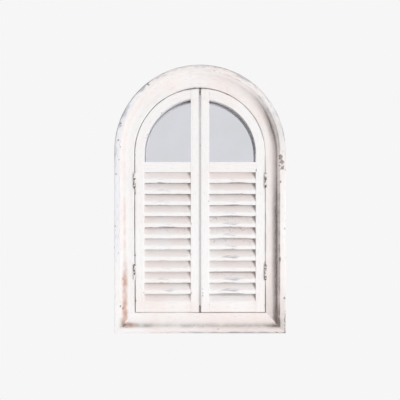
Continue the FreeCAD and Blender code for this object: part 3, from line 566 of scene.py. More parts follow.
def door_blush_at(points):
    _, height, _ = parts_of(points)
    foot, top = below(height, *DOOR_BLUSH_FOOT), smooth(height, HIGH, DOOR_BLUSH_TOP)
    return weighted(DOOR_BLUSH_SHARES, foot, top)


# Meshes

TINY = 1e-12


def outward(rings):
    """Unit normals of a tube of rings."""
    along = np.gradient(rings, axis=0)
    around = np.roll(rings, -1, 1) - np.roll(rings, 1, 1)
    normal = np.cross(along, around)
    normal /= np.maximum(np.linalg.norm(normal, axis=-1, keepdims=True), TINY)
    facing = (normal * (rings - rings.mean(1, keepdims=True))).sum()
    return normal if facing > 0 else -normal


def tube_mesh(name, rings, crease):
    """A closed tube through the rings, with flat ends, smooth where it bends by less than the crease."""
    count, around = rings.shape[:2]
    index = np.arange(count * around).reshape(count, around)
    here, ahead = index[:-1], index[1:]
    quads = np.stack([here, np.roll(here, -1, 1), np.roll(ahead, -1, 1), ahead], -1).reshape(-1, 4)
    faces = quads.tolist() + [index[0][::-1].tolist(), index[-1].tolist()]
    first = rings[0]
    travel = rings[1].mean(0) - first.mean(0)
    turn = np.cross(first, np.roll(first, -1, 0)).sum(0)
    if np.dot(turn, travel) < 0:
        faces = [face[::-1] for face in faces]
    mesh = bpy.data.meshes.new(name)
    mesh.from_pydata(rings.reshape(-1, 3).tolist(), [], faces)
    mesh.polygons.foreach_set("use_smooth", np.ones(len(faces), bool))
    mesh.set_sharp_from_angle(angle=crease)
    return mesh


def new_object(name, data):
    item = bpy.data.objects.new(name, data)
    bpy.context.scene.collection.objects.link(item)
    return item


def set_attribute(mesh, name, values):
    kind, field = ("FLOAT", "value") if values.ndim == 2 else ("FLOAT_VECTOR", "vector")
    layer = mesh.attributes.new(name, kind, "POINT")
    layer.data.foreach_set(field, values.astype(np.float32).ravel())


def grain_of(rings):
    """Distance along the piece and round its section, for the brush strokes."""
    along = np.linalg.norm(np.diff(rings.mean(1), axis=0), axis=-1)
    around = np.linalg.norm(np.diff(rings, axis=1), axis=-1).mean(0)
    along = np.concatenate([[0], along.cumsum()])[:, None]
    around = np.concatenate([[0], around.cumsum()])[None]
    return np.stack(np.broadcast_arrays(along, around, np.zeros_like(along)), -1)


def painted_piece(name, node, rings, edge, blush, rub=0.0, bite=0.0, dirt_and_shade=0.0, crease=SOFT_CREASE):
    """A piece of worn painted wood that stands for a CAD node. Wear only ever takes material away."""
    edge = np.broadcast_to(edge, rings.shape[:2])
    hold = (1 - edge) * EDGE_HOLD
    chip = smooth(fractal(rings, *CHIP_NOISE) + worn_at(rings) - hold, *CHIP_RANGE)
    depth = chip * CHIP_DEPTH + WAVE_DEPTH * edge * fractal(rings, *WAVE_NOISE) + bite
    mesh = tube_mesh(name, rings - outward(rings) * depth[..., None], crease)
    # The darkening mark holds dirt and painted shade together
    marks = {"chip": chip, "rub": np.maximum(rub_at(rings), rub), "stain": stain_at(rings),
             "grime_and_shade": np.maximum(grime_and_shade_at(rings), dirt_and_shade), "blush": blush, "grain": grain_of(rings)}
    for mark, values in marks.items():
        set_attribute(mesh, mark, values)
    mesh.materials.append(PAINT)
    piece = new_object(name, mesh)
    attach(piece, BODY_OF[node])
    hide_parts(node)


def frame_piece(name, rings, edge):
    painted_piece(name, f"moulding_{name}", rings, edge, blush_at(rings), crease=FRAME_CREASE)


def door_piece(side, name, rings, edge, blush=None, dirt_and_shade=0.0):
    blush = door_blush_at(rings) if blush is None else blush
    painted_piece(f"{name}_{side}", f"door_{side}_{name}", rings, edge, blush, dirt_and_shade=dirt_and_shade)


def stations(length, step=ALONG_STEP):
    """A column of shares along a piece, from 0 to 1."""
    return np.linspace(0, 1, max(2, round(length / step)))[:, None]


def rings_at(across, depth, height):
    return np.stack(np.broadcast_arrays(across, -depth, height), -1)


# Materials

def fill(node, inputs):
    """Wires or sets a node's inputs."""
    for key, value in inputs.items():
        if isinstance(value, bpy.types.NodeSocket):
            node.id_data.links.new(value, node.inputs[key])
        else:
            node.inputs[key].default_value = value


def add(beside, kind, inputs=None, **settings):
    """A new node in the tree of another node, of a socket or of the tree itself."""
    node = beside.id_data.nodes.new(f"ShaderNode{kind}")
    for key, value in settings.items():
        setattr(node, key, value)
    fill(node, inputs or {})
    return node


def new_tree(name):
    """A new material, its shader and the coordinates of its object."""
    material = bpy.data.materials.new(name)
    material.use_nodes = True
    shader = material.node_tree.nodes["Principled BSDF"]
    return material, shader, add(shader, "TexCoord").outputs["Object"]


def linear(red, green, blue):
    """A colour written as it looks on screen, from 0 to 255, for the shader."""
    shares = [value / 255 for value in (red, green, blue)]
    light = [share / 12.92 if share <= 0.04045 else ((share + 0.055) / 1.055) ** 2.4 for share in shares]
    return light + [1]


def mixed(factor, first, second):
    return add(factor, "Mix", {0: factor, 6: first, 7: second}, data_type="RGBA").outputs[2]


def calc(operation, first, second):
    return add(first, "Math", {0: first, 1: second}, operation=operation).outputs[0]


def ramp(value, low, high, to_low=0.0, to_high=1.0):
    node = add(value, "MapRange", {"Value": value, "From Min": low, "From Max": high,
                                   "To Min": to_low, "To Max": to_high}, interpolation_type="SMOOTHSTEP")
    return node.outputs[0]


def noise(vector, scale, detail=3.0):
    return add(vector, "TexNoise", {"Vector": vector, "Scale": scale, "Detail": detail}).outputs["Fac"]


def grained(vector, scales, detail=3.0):
    """Noise with a scale of its own in each direction."""
    node = add(vector, "VectorMath", {0: vector, 1: scales}, operation="MULTIPLY")
    return noise(node.outputs[0], 1.0, detail)


def attribute(shader, name, output="Fac"):
    return add(shader, "Attribute", attribute_name=name).outputs[output]


def bump(shader, height, strength, distance):
    node = add(shader, "Bump", {"Height": height, "Strength": strength, "Distance": distance})
    fill(shader, {"Normal": node.outputs[0]})


def coated(material, shader, colour, roughness, metallic=0.0):
    fill(shader, {"Base Color": colour, "Roughness": roughness, "Metallic": metallic})
    return material


def clouded(value, span, first, second, smoothest, roughest):
    """A colour and a roughness that follow one noise."""
    return mixed(ramp(value, *span), first, second), ramp(value, *MIDDLE, smoothest, roughest)


# Ranges of noise, and the paint's shine
WIDE = (0.2, 0.8)
MIDDLE = (0.3, 0.7)
NARROW = (0.35, 0.65)
PAINT_SHINE = 0.3
# Colours of the paint and what shows through it, then of other materials, some with their roughness
WHITE = linear(251, 250, 250)
PINK_WHITE = linear(249, 240, 237)
DEEP_PINK = linear(230, 215, 210)
COOL_WHITE = linear(247, 247, 252)
STROKE_GREY = linear(238, 233, 231)
PRIMER = linear(192, 190, 199)
RUST_STAIN = linear(203, 162, 146)
# A dark colour that serves for dirt and for painted shade
DIRT_AND_SHADE = linear(104, 90, 86)
BARE = (linear(158, 152, 152), linear(104, 92, 88))
INSIDE_WHITE = linear(242, 238, 235)
MIRROR = (linear(219, 221, 225), linear(223, 223, 230), 0.03, 0.06)
WASHED = (linear(206, 186, 156), linear(178, 150, 116))
WASHED_PORE = linear(148, 118, 88)
BOARD = (linear(138, 103, 73), linear(128, 94, 65))
BOARD_FIBRE = linear(98, 68, 45)
SCREW_ZINC = (linear(205, 205, 206), linear(168, 168, 170), 0.3, 0.45)
PLATE_ZINC = (linear(214, 213, 206), linear(182, 180, 172), 0.32, 0.47)
NICKEL = (linear(216, 215, 212), linear(196, 195, 192), 0.18, 0.33)
HINGE_WHITE = linear(238, 234, 231)
IRON = (linear(70, 65, 63), linear(118, 98, 86))
BEECH = (linear(214, 178, 134), linear(180, 140, 98), 0.55, 0.7)
FLOOR_GREY = (linear(246, 246, 246), linear(244, 244, 244), 0.75, 0.85)
# Strength and depth of the fine relief
PAINT_RELIEF = (0.35, 0.0004)
WOOD_RELIEF = (0.3, 0.0004)
BOARD_RELIEF = (0.4, 0.0003)
METAL_RELIEF = (0.15, 0.0001)
IRON_RELIEF = (0.5, 0.0003)
BEECH_RELIEF = (0.2, 0.0002)
# Where the back wood's paint starts in front of the wall, and how far its edge wanders
INSIDE_PAINT = (0.0075, 0.01)
PAINT_WANDER = 0.003


def make_paint():
    """White paint over primer and old wood: a pink cast, rub-through, stains, dirty marks and painted shade,
    and chips.
    """
    material, shader, where = new_tree("worn_white_paint")
    grain = attribute(shader, "grain", "Vector")
    blotch = noise(where, 55.0, 4.0)
    fine = noise(where, 420.0)
    strokes = grained(grain, (14.0, 700.0, 1.0), 2.0)
    streaks = grained(grain, (45.0, 420.0, 1.0))
    cloud = ramp(noise(where, 11.0), *MIDDLE, -0.3, 0.3)
    blush = calc("ADD", attribute(shader, "blush"), cloud)
    colour = mixed(ramp(blush, 0.0, 1.0), WHITE, PINK_WHITE)
    colour = mixed(ramp(blush, 1.0, 2.0), colour, DEEP_PINK)
    colour = mixed(ramp(blush, -0.2, -1.0), colour, COOL_WHITE)
    colour = mixed(ramp(strokes, 0.45, 0.8, 0.0, 0.15), colour, STROKE_GREY)
    rub = calc("ADD", attribute(shader, "rub"), ramp(streaks, *MIDDLE, -0.4, 0.4))
    colour = mixed(ramp(rub, 0.1, 1.1), colour, PRIMER)
    stain = calc("MULTIPLY", attribute(shader, "stain"), ramp(blotch, 0.2, 0.7, 0.5, 1.0))
    colour = mixed(ramp(stain, 0.05, 0.95), colour, RUST_STAIN)
    # Dirt and painted shade mix in towards the same dark colour
    grime_and_shade = calc("MULTIPLY", attribute(shader, "grime_and_shade"), ramp(fine, *MIDDLE, 0.65, 1.1))
    colour = mixed(grime_and_shade, colour, DIRT_AND_SHADE)
    chip = calc("ADD", attribute(shader, "chip"), ramp(fine, *MIDDLE, -0.25, 0.25))
    chip = ramp(chip, 0.4, 0.75)
    colour = mixed(chip, colour, mixed(blotch, *BARE))
    height = calc("ADD", calc("MULTIPLY", strokes, 0.6), calc("MULTIPLY", fine, 0.3))
    bump(shader, calc("SUBTRACT", height, chip), *PAINT_RELIEF)
    fill(shader, {"Specular IOR Level": PAINT_SHINE})
    return coated(material, shader, colour, ramp(blotch, *WIDE, 0.5, 0.68))


def make_mirror():
    """Silvered glass with the faintest unevenness."""
    material, shader, where = new_tree("silvered_glass")
    haze = noise(where, 12.0)
    return coated(material, shader, *clouded(haze, NARROW, *MIRROR), 1.0)


def make_back_wood(name, turn):
    """Washed softwood, whose grain runs along the turn. Its front, inside the frame, is painted white."""
    material, shader, where = new_tree(name)
    turned = add(where, "Mapping", {"Vector": where, "Rotation": (0.0, turn, 0.0)}).outputs[0]
    rings = grained(turned, (110.0, 110.0, 5.0), 4.0)
    pores = grained(turned, (900.0, 900.0, 30.0), 2.0)
    wood = mixed(ramp(rings, *MIDDLE), *WASHED)
    wood = mixed(ramp(pores, 0.5, 0.75, 0.0, 0.5), wood, WASHED_PORE)
    front = calc("MULTIPLY", add(where, "SeparateXYZ", {0: where}).outputs["Y"], -1.0)
    wander = ramp(noise(where, 60.0), *MIDDLE, -PAINT_WANDER, PAINT_WANDER)
    front = calc("ADD", front, wander)
    colour = mixed(ramp(front, *INSIDE_PAINT), wood, INSIDE_WHITE)
    bump(shader, calc("ADD", rings, pores), *WOOD_RELIEF)
    return coated(material, shader, colour, ramp(rings, *WIDE, 0.6, 0.8))


def make_hardboard():
    material, shader, where = new_tree("brown_hardboard")
    fibre = noise(where, 700.0, 4.0)
    cloud = noise(where, 14.0)
    colour = mixed(ramp(cloud, *MIDDLE), *BOARD)
    colour = mixed(ramp(fibre, 0.45, 0.75, 0.0, 0.6), colour, BOARD_FIBRE)
    bump(shader, fibre, *BOARD_RELIEF)
    return coated(material, shader, colour, ramp(cloud, *MIDDLE, 0.6, 0.78))


def make_metal(name, looks):
    """Plated steel, scuffed and a little cloudy."""
    material, shader, where = new_tree(name)
    cloud = noise(where, 180.0, 4.0)
    scuff = grained(where, (900.0, 900.0, 60.0), 2.0)
    bump(shader, scuff, *METAL_RELIEF)
    return coated(material, shader, *clouded(cloud, NARROW, *looks), 1.0)


def make_hinge_iron():
    """Iron hinges under worn white paint, rusty where it has gone."""
    material, shader, where = new_tree("worn_hinge_iron")
    patch = noise(where, 170.0, 4.0)
    rust = noise(where, 500.0)
    bare = mixed(ramp(rust, *PATCH_RANGE), *IRON)
    gone = ramp(patch, 0.47, 0.53)
    colour = mixed(gone, HINGE_WHITE, bare)
    bump(shader, calc("SUBTRACT", rust, gone), *IRON_RELIEF)
    return coated(material, shader, colour, ramp(rust, *MIDDLE, 0.5, 0.8))


def make_beech():
    material, shader, where = new_tree("plain_beech")
    fleck = noise(where, 900.0)
    bump(shader, fleck, *BEECH_RELIEF)
    return coated(material, shader, *clouded(fleck, PATCH_RANGE, *BEECH))


def make_floor_finish():
    material, shader, where = new_tree("pale_floor")
    cloud = noise(where, 3.0)
    return coated(material, shader, *clouded(cloud, MIDDLE, *FLOOR_GREY))


PAINT = make_paint()


# Frame moulding. Old paint on its inner edge narrows the gaps round the doors.

SIDE_PAINT = 0.0006
LEFT_PAINT = 0.001
LEFT_GAP_FROM = -0.15
HAUNCH_PAINT = 0.001
HAUNCH = (0.07, 0.055)
SILL_PAINT = 0.0011
PAINT_FADE = 0.05
PAINT_TOP = 0.2
SHARP_FOOT_SHARES = {"left": 1.0, "right": 0.0}
SHARP_FADE = (0.3, 0.7)
SHARP_END = (0.9, 1.0)


def side_paint(side, height):
    """Thickness of the paint on the inner edge at a height: thickest round the right-hand haunch."""
    if side == "left":
        return LEFT_PAINT * below(height, LEFT_GAP_FROM, DOOR_FOOT)
    fade = smooth(height, DOOR_FOOT, DOOR_FOOT + PAINT_FADE) * (
        1 - smooth(height, PAINT_TOP, PAINT_TOP + PAINT_FADE))
    return fade * (SIDE_PAINT + HAUNCH_PAINT * bell(height, *HAUNCH))


def sill_paint(across):
    fade = smooth(-across, 0, PAINT_FADE) * (1 - smooth(-across, OPENING - PAINT_FADE, OPENING))
    return SILL_PAINT * fade


def band_fitted(inset, inner):
    """Stretches the band, inside the cove, to reach the opening's own arch."""
    share = np.maximum(inset - COVE_END, 0) / (FRAME_WIDTH - COVE_END)
    return np.where(share > 0, COVE_END + share * (inner - COVE_END), inset)


def make_jamb(side, sign):
    along = stations(SPRING - FOOT)
    (inset, depth), edge = sharpened_section(SHARP_FOOT_SHARES[side] * (1 - smooth(along, *SHARP_FADE)))
    inset = band_fitted(inset, FRAME_WIDTH + side_paint(side, FOOT + (SPRING - FOOT) * along))
    mitre = FOOT + inset
    height = mitre + (SPRING - mitre) * along
    frame_piece(f"jamb_{side}", rings_at(sign * (OUTER - inset), depth, height), edge)


def make_arch(side, sign):
    """A short straight leg and a quarter round, whose band follows the opening's own arch."""
    (inset, depth), edge = moulding_section()
    drop = OUTER_SPRING - SPRING
    leg = stations(drop) * drop
    angle = stations(OUTER * math.pi / 2)[1:] * math.pi / 2
    leg_inner = OUTER - np.sqrt(OPENING ** 2 - leg ** 2) + side_paint(side, SPRING + leg)
    leg_rings = rings_at(sign * (OUTER - band_fitted(inset, leg_inner)), depth, SPRING + leg)
    inner = OUTER + drop * np.sin(angle) - np.sqrt(OPENING ** 2 - (drop * np.cos(angle)) ** 2)
    inner = inner + side_paint(side, OUTER_SPRING + OPENING * np.sin(angle))
    radius = OUTER - band_fitted(inset, inner)
    height = OUTER_SPRING + radius * np.sin(angle)
    arch_rings = rings_at(sign * radius * np.cos(angle), depth, height)
    frame_piece(f"arch_{side}", np.concatenate([leg_rings, arch_rings]), edge)


def make_sill():
    along = 2 * stations(2 * OUTER) - 1
    (inset, depth), edge = sharpened_section(smooth(-along, *SHARP_END))
    across = (OUTER - inset) * along
    inset = band_fitted(inset, FRAME_WIDTH + sill_paint(OPENING * along))
    frame_piece("sill", rings_at(across, depth, FOOT + inset), edge)


# Doors. The left one's outer edge is planed a little towards the foot.

PLANED_EDGES = {"left": 0.0016, "right": 0.0}


def make_hinge_stile(side, sign):
    (across, depth), edge = plank_section(HINGE_INNER, DOOR_EDGE)
    height = DOOR_FOOT + (SPRING - DOOR_FOOT) * stations(SPRING - DOOR_FOOT)
    planed = PLANED_EDGES[side] * below(height, LEFT_GAP_FROM, DOOR_FOOT)
    across = across - planed * (across - HINGE_INNER) / (DOOR_EDGE - HINGE_INNER)
    door_piece(side, "hinge_stile", rings_at(sign * across, depth, height), edge)


def make_meeting_stile(side, sign):
    (across, depth), edge = plank_section(MEETING_EDGE, MEETING_INNER)
    top = SPRING + np.sqrt(DOOR_EDGE ** 2 - across ** 2)
    height = DOOR_FOOT + (top - DOOR_FOOT) * stations(MEETING_HIGH.z - DOOR_FOOT)
    door_piece(side, "meeting_stile", rings_at(sign * across, depth, height), edge)


# Painted shade in the windows' reveals, low down and at the crown, and how far their curves drop there
REVEAL_SHADE_SHARES = {"left": (0.0, 0.14), "right": (0.6, 0.08)}
REVEAL_ANGLES = (math.radians(45), math.radians(75))
WINDOW_DROPS = {"left": 0.0016, "right": 0.0038}


def make_arch_rail(side, sign):
    """A quarter arch. The window's curve is cut a little flat, so that the rail is widest at the crown."""
    (radius, depth), edge = plank_section(HINGE_INNER, DOOR_EDGE)
    angle = np.arccos(MEETING_INNER / radius) * stations(DOOR_EDGE * math.pi / 2)
    rise = radius - WINDOW_DROPS[side] * (DOOR_EDGE - radius) / (DOOR_EDGE - HINGE_INNER)
    rings = rings_at(sign * radius * np.cos(angle), depth, SPRING + rise * np.sin(angle))
    # Painted shade on the window's inner edge, strongest low down in the right-hand window
    low_shade, crown_shade = REVEAL_SHADE_SHARES[side]
    reveal_shade = low_shade + (crown_shade - low_shade) * smooth(angle, *REVEAL_ANGLES)
    reveal_shade = reveal_shade * (radius < HINGE_INNER + ARRIS / 2)
    door_piece(side, "arch_rail", rings, edge, dirt_and_shade=reveal_shade)


# Slats with fine dark dots, by number, and how strong they are
SPECKLE_NOISE = (0.0032, 86)
SPECKLE_RANGE = (0.72, 0.85)
SPECKLE_SHARE = 0.7
SPECKLED_SHARES = {"left": {6: 0.6}, "right": {2: 0.6, 5: 0.8, 6: 0.9, 7: 1.0}}


def speckle(rings, foot, strength):
    """Fine dark dots on a slat's sloping face, thicker near the slat above."""
    dots = smooth(lumps(rings, *SPECKLE_NOISE), *SPECKLE_RANGE)
    return SPECKLE_SHARE * strength * dots * smooth(rings[..., 2] - foot, 0, SLAT_PITCH - NOSE_HEIGHT)


# Painted shadow high on the slots' sloping faces, by height from the lip of the slat above, and their pink
# cast
SLOT_LINE_START = (-0.0035, -0.0021)
SLOT_LINE_FADE = (0.001, 0.004)
LINE_LEAN_SHARE = 0.0117
SLOT_LINE_LEVEL = -0.0734
# The camera's height: the painted shadow sits lower in slots further below it
SLOT_NOISE = (0.03, 81)
SLOT_PATCH_SHARES = (0.45, 0.35)
UNBITTEN_SHARE = 0.4
SLOT_BLUSH_RISE = (0.0005, 0.003)
SLOT_BLUSH_SHARES = (0.1, 0.55)
# Painted shadow of the stile in the slots' right-hand corners, by the door's sign, wider towards the top
SLOT_CORNER_SHARES = {1: 0.35, -1: 0.0}
CORNER_LEAN_SHARE = 0.085
SLOT_CORNER_RANGE = (0.985, 1.03)


def seen_share(across, sign):
    """How far across a door's louvres a place lies, from 0 at the left to 1 at the right."""
    left_end, right_end = sorted((sign * MEETING_INNER, sign * HINGE_INNER))
    return (across - left_end) / (right_end - left_end)


def slot_painted_shade(rings, sign, foot, line, lip):
    """Painted shadow high on a sloping face in the louvres, most under the worn stretch of the slat above,
    and the stile's painted shadow in the corner at the right. It sits lower in low slots."""
    seen = seen_share(rings[..., 0], sign)
    lip_start, lip_end, lip_strength = lip
    line = line * (1 - UNBITTEN_SHARE * lip_strength * (1 - lens(seen, lip_start, lip_end)))
    rise = (rings[..., 2] - foot) / (SLAT_PITCH - NOSE_HEIGHT)
    corner = SLOT_CORNER_SHARES[sign] * smooth(seen + CORNER_LEAN_SHARE * rise, *SLOT_CORNER_RANGE)
    top = foot + SLAT_PITCH - NOSE_HEIGHT + LIP_CUT + (foot - SLOT_LINE_LEVEL) * LINE_LEAN_SHARE
    patch = weighted(SLOT_PATCH_SHARES, fractal(rings, *SLOT_NOISE))
    level = rings[..., 2] - top
    band = smooth(level, *SLOT_LINE_START) * (1 - smooth(level, *SLOT_LINE_FADE))
    return np.maximum(line * patch * band, corner * (rise > 0))


def slot_blush(rings, foot):
    return weighted(SLOT_BLUSH_SHARES, smooth(rings[..., 2] - foot, *SLOT_BLUSH_RISE))


def rail_rings(sign, corners, strengths):
    """A rail between the stiles, from its section's corners of (depth, height)."""
    (depth, height), edge = rounded(np.array([corners], float), ARRIS, strengths, PLANK_STEP)
    across = MEETING_INNER + (HINGE_INNER - MEETING_INNER) * stations(HINGE_INNER - MEETING_INNER)
    return rings_at(sign * across, depth, height), edge


def make_mid_rail(side, sign):
    """The rail under the window, bevelled below like a slat."""
    corners = [(DOOR_BACK, LOUVRE_TOP + MID_RAIL_BEVEL), (DOOR_FRONT, LOUVRE_TOP - MID_RAIL_DROP),
               (DOOR_FRONT, MID_RAIL_TOP), (DOOR_BACK, MID_RAIL_TOP)]
    rings, edge = rail_rings(sign, corners, MID_RAIL_EXPOSURES)
    door_piece(side, "mid_rail", rings, edge)


def make_bottom_rail(side, sign, line, lip):
    """The rail at the foot, bevelled above. The lip is that of the slat over it."""
    top = DOOR_FOOT + BOTTOM_RAIL_HEIGHT
    back_top = top + (DOOR_FRONT - DOOR_BACK) * math.tan(SLAT_SLOPE)
    corners = [(DOOR_BACK, DOOR_FOOT), (DOOR_FRONT, DOOR_FOOT),
               (DOOR_FRONT, top), (DOOR_BACK, back_top)]
    rings, edge = rail_rings(sign, corners, BOTTOM_RAIL_EXPOSURES)
    blush = np.maximum(door_blush_at(rings), slot_blush(rings, top))
    # Its slope gets the painted shadow of a slot, like a slat's
    door_piece(side, "bottom_rail", rings, edge, blush, slot_painted_shade(rings, sign, top, line, lip))


# Wear of the slats, lowest first: the rubbed stretch of the crest and the bitten stretch of the lip, each
# as the shares where it starts and ends, from left to right, and its strength. Then how dark the painted
# shadow is on the slope above, under the slat over it. The bottom rail's own slope stands apart.
UNWORN = (0.0, 1.0, 0.0)
SLAT_WEAR_AND_SHADE_SHARES = {
    "left": [
        ((0.35, 0.75, 0.6), (0.3, 0.6, 0.2), 0.6),
        ((0.2, 0.55, 0.5), (0.3, 0.45, 0.5), 0.05),
        ((0.3, 0.6, 0.15), UNWORN, 0.0),
        (UNWORN, (0.3, 0.5, 0.25), 0.15),
        ((0.2, 0.5, 0.1), (0.4, 0.65, 0.5), 0.2),
        ((0.1, 0.6, 0.1), (0.05, 0.2, 0.3), 1.0),
        ((0.3, 0.7, 0.2), (0.25, 0.72, 0.9), 0.45),
        ((0.2, 0.3, 0.15), (0.25, 0.6, 0.15), 0.35),
        ((0.15, 0.55, 0.35), (0.2, 0.5, 0.1), 0.75),
        ((0.15, 0.6, 0.4), (0.35, 0.55, 0.2), 0.8),
        ((0.25, 0.45, 0.25), (0.27, 0.42, 0.5), 0.2),
    ],
    "right": [
        ((0.15, 0.75, 0.9), (0.1, 0.8, 1.0), 0.4),
        ((0.25, 0.78, 0.9), (0.2, 0.62, 0.8), 0.8),
        (UNWORN, (0.0, 1.0, 0.25), 0.1),
        ((0.2, 0.72, 1.0), UNWORN, 0.4),
        ((0.3, 0.65, 0.5), (0.25, 0.65, 0.7), 0.55),
        ((0.25, 0.6, 0.6), (0.1, 0.9, 0.7), 0.5),
        ((0.22, 0.7, 0.7), (0.15, 0.72, 0.9), 0.8),
        ((0.25, 0.6, 0.3), (0.2, 0.72, 0.8), 0.8),
        ((0.3, 0.7, 0.25), (0.25, 0.75, 0.5), 0.75),
        ((0.3, 0.5, 0.15), (0.3, 0.7, 0.4), 0.9),
        ((0.4, 0.55, 0.3), (0.35, 0.85, 0.8), 0.1),
    ],
}
# How dark the painted shadow is on each bottom rail's slope
RAIL_LINE_SHARES = {"left": 0.3, "right": 0.7}
SLAT_RISE = (SLAT_FRONT - SLAT_BACK) * math.tan(SLAT_SLOPE)
# The lip's and the crest's wear
BITE_SHARES = (0.6, 0.6)
RAG_RANGE = (0.45, 0.9)
LIP_WEAR_SHARE = 0.5
CREST_RUB_SHARE = 0.85


def slat_section(foot, nose_top, cut):
    """A slat's outline at each station, its lip cut up from the foot, and its exposure to wear."""
    profile = [(SLAT_FRONT - cut / math.tan(SLAT_SLOPE), foot + cut), (SLAT_FRONT, foot + cut),
               (SLAT_FRONT, nose_top), (SLAT_BACK, nose_top + SLAT_RISE), (SLAT_BACK, foot + SLAT_RISE)]
    corners = [np.stack(np.broadcast_arrays(depth, height, cut)[:2], -1) for depth, height in profile]
    runs = (SLAT_EDGE_RUN, SLAT_EDGE_RUN, SLAT_CREST_RUN, SLAT_EDGE_RUN, SLAT_EDGE_RUN)
    return rounded(np.stack(corners, 1), runs, SLAT_EXPOSURES, AROUND_STEP)


def make_slat(side, sign, number, wear, lip_above):
    """A slat with a rubbed crest and a bitten, ragged lip along its nose."""
    node = f"door_{side}_slat_{number:02d}"
    low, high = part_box(node)
    across = low.x + (high.x - low.x) * stations(high.x - low.x, SLAT_STEP)[:, 0]
    seen = seen_share(across, sign)
    # The last of the wear row is how dark the painted shadow is on this slat's slope
    (rub_start, rub_end, rub_strength), (lip_start, lip_end, lip_strength), line = wear
    nose_top = high.z - SLAT_RISE
    foot = nose_top - NOSE_HEIGHT
    ragged = fractal(rings_at(across, SLAT_FRONT, foot), *RAG_NOISE)
    worn_lip = lip_strength * lens(seen, lip_start, lip_end)
    cut = LIP_CUT + LIP_BITE * worn_lip * weighted(BITE_SHARES, ragged)
    cut = cut + LIP_RAG * smooth(ragged, *RAG_RANGE)
    (depth, height), edge = slat_section(foot, nose_top, cut)
    edge = edge + LIP_WEAR_SHARE * worn_lip[:, None] * (edge > LIP_EXPOSURE)
    rings = rings_at(across[:, None], depth, height)
    near_crest = bell(rings[..., 2], nose_top, CREST_REACH)
    near_crest = near_crest * (rings[..., 1] < -(SLAT_FRONT + SLAT_BACK) / 2)
    rub = CREST_RUB_SHARE * rub_strength * lens(seen, rub_start, rub_end)[:, None] * near_crest
    dots = speckle(rings, nose_top, SPECKLED_SHARES[side].get(number, 0.0))
    # Painted shadow under the slat above, and fine dark dots
    dirt_and_shade = np.maximum(slot_painted_shade(rings, sign, nose_top, line, lip_above), dots)
    painted_piece(f"slat_{side}_{number:02d}", node, rings, edge, slot_blush(rings, nose_top),
                  rub=rub, bite=CREST_BITE * rub, dirt_and_shade=dirt_and_shade)


for side, sign in (("right", 1), ("left", -1)):
    make_jamb(side, sign)
    make_arch(side, sign)
    make_hinge_stile(side, sign)
    make_meeting_stile(side, sign)
    make_arch_rail(side, sign)
    make_mid_rail(side, sign)
    wears = SLAT_WEAR_AND_SHADE_SHARES[side]
    lips = [lip for _, lip, _ in wears] + [UNWORN]
    make_bottom_rail(side, sign, RAIL_LINE_SHARES[side], lips[0])
    for number, wear in enumerate(wears, start=1):
        make_slat(side, sign, number, wear, lips[number])
make_sill()


# CAD pieces that keep their own shape

def finish_nodes(material, *nodes):
    for node in nodes:
        materials = frame["nodes"][node].data.materials
        materials.clear()
        materials.append(material)


finish_nodes(make_mirror(), "mirror_glass")
finish_nodes(make_hardboard(), "back_panel")
finish_nodes(make_back_wood("washed_wood_upright", 0.0), "back_stile_left", "back_stile_right")
finish_nodes(make_back_wood("washed_wood_level", math.pi / 2), "back_rail")
finish_nodes(make_back_wood("washed_wood_left", math.radians(45)), "back_arch_left")
finish_nodes(make_back_wood("washed_wood_right", math.radians(-45)), "back_arch_right")
finish_nodes(make_metal("zinc_screws", SCREW_ZINC),
             "panel_screws", "frame_screws", "frame_small_screws",
             "door_left_hinge_screws", "door_right_hinge_screws")
finish_nodes(make_metal("zinc_plate", PLATE_ZINC), "hanger_plates")
finish_nodes(make_metal("nickel", NICKEL),
             "door_magnets", "door_left_strike", "door_right_strike")
finish_nodes(make_hinge_iron(), "frame_hinge_leaves", "hinge_pins",
             "door_left_hinge_leaves", "door_right_hinge_leaves")
finish_nodes(make_beech(), "frame_dowels", "door_left_dowels", "door_right_dowels")


# Floor, light and camera

FLOOR_HEIGHT = -1.3
FLOOR_FAR = 0.45
FLOOR_NEAR = -3.6
FLOOR_HALF_WIDTH = 2.8
BACKGROUND = linear(246, 246, 246)
AMBIENT = (1.0, 0.985, 0.975, 1)
KEY_PLACE = (9.12, -13.0, 0.1)
KEY_TARGET = (0.0, 0.0, -0.07)
KEY_WIDTH = 4.4
KEY_HEIGHT = 4.8
KEY_POWER = 1150.0
CAMERA_PLACE = (0.0, -1.357, -0.0734)
CAMERA_LENS = 41.34
CAMERA_SENSOR = 36.0


def make_floor():
    mesh = bpy.data.meshes.new("floor")
    plan = [(-1, FLOOR_NEAR), (1, FLOOR_NEAR), (1, FLOOR_FAR), (-1, FLOOR_FAR)]
    corners = [(sign * FLOOR_HALF_WIDTH, depth, FLOOR_HEIGHT) for sign, depth in plan]
    mesh.from_pydata(corners, [], [(0, 1, 2, 3)])
    mesh.materials.append(make_floor_finish())
    floor = new_object("floor", mesh)


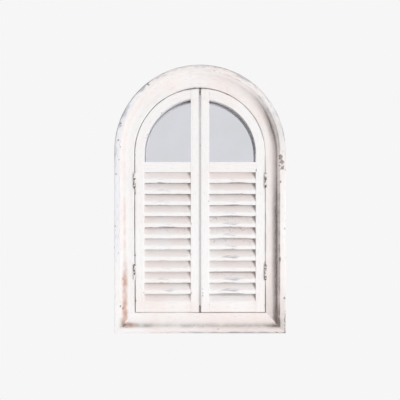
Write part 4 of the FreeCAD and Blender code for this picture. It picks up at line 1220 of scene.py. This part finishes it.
def make_world():
    """A pale backdrop for the camera and reflections. Its light comes mostly from behind and above."""
    world = bpy.data.worlds.new("studio")
    bpy.context.scene.world = world
    world.use_nodes = True
    tree = world.node_tree
    tree.nodes.clear()
    right, back, up = add(tree, "SeparateXYZ", {0: add(tree, "TexCoord").outputs["Generated"]}).outputs
    behind = ramp(back, -0.05, 0.35)
    behind = calc("MULTIPLY", behind, ramp(right, -0.3, 0.3, 0.75, 0.4))
    upright = calc("ABSOLUTE", up, 0.0)
    level = calc("ADD", behind, ramp(upright, 0.3, 0.9, 0.29, 0.45))
    level = calc("ADD", level, ramp(up, 0.1, 0.8, 0.0, 0.45))
    ambient = add(tree, "Background", {"Color": AMBIENT, "Strength": level})
    backdrop = add(tree, "Background", {"Color": BACKGROUND, "Strength": 1.0})
    rays = add(tree, "LightPath").outputs
    seen = calc("MAXIMUM", rays["Is Camera Ray"], rays["Is Glossy Ray"])
    seen = calc("MAXIMUM", seen, rays["Is Transmission Ray"])
    either = add(tree, "MixShader", {0: seen, 1: ambient.outputs[0], 2: backdrop.outputs[0]})
    add(tree, "OutputWorld", {"Surface": either.outputs[0]})


def aim(item, spot, target):
    """Puts a lamp or camera at a spot, upright and looking at its target."""
    item.location = spot
    way = [there - here for here, there in zip(spot, target)]
    item.rotation_mode = "XYZ"
    level = math.hypot(way[0], way[1])
    item.rotation_euler = (math.atan2(level, -way[2]), 0.0, math.atan2(-way[0], way[1]))


def make_key_light():
    light = bpy.data.lights.new("key", "AREA")
    light.shape = "RECTANGLE"
    light.size = KEY_WIDTH
    light.size_y = KEY_HEIGHT
    light.energy = KEY_POWER
    aim(new_object("key", light), KEY_PLACE, KEY_TARGET)


def make_camera():
    lens_data = bpy.data.cameras.new("camera")
    lens_data.lens = CAMERA_LENS
    lens_data.sensor_width = CAMERA_SENSOR
    camera = new_object("camera", lens_data)
    aim(camera, CAMERA_PLACE, (CAMERA_PLACE[0], 0.0, CAMERA_PLACE[2]))
    bpy.context.scene.camera = camera


make_floor()
make_world()
make_key_light()
make_camera()
bpy.context.scene.view_settings.view_transform = "Standard"
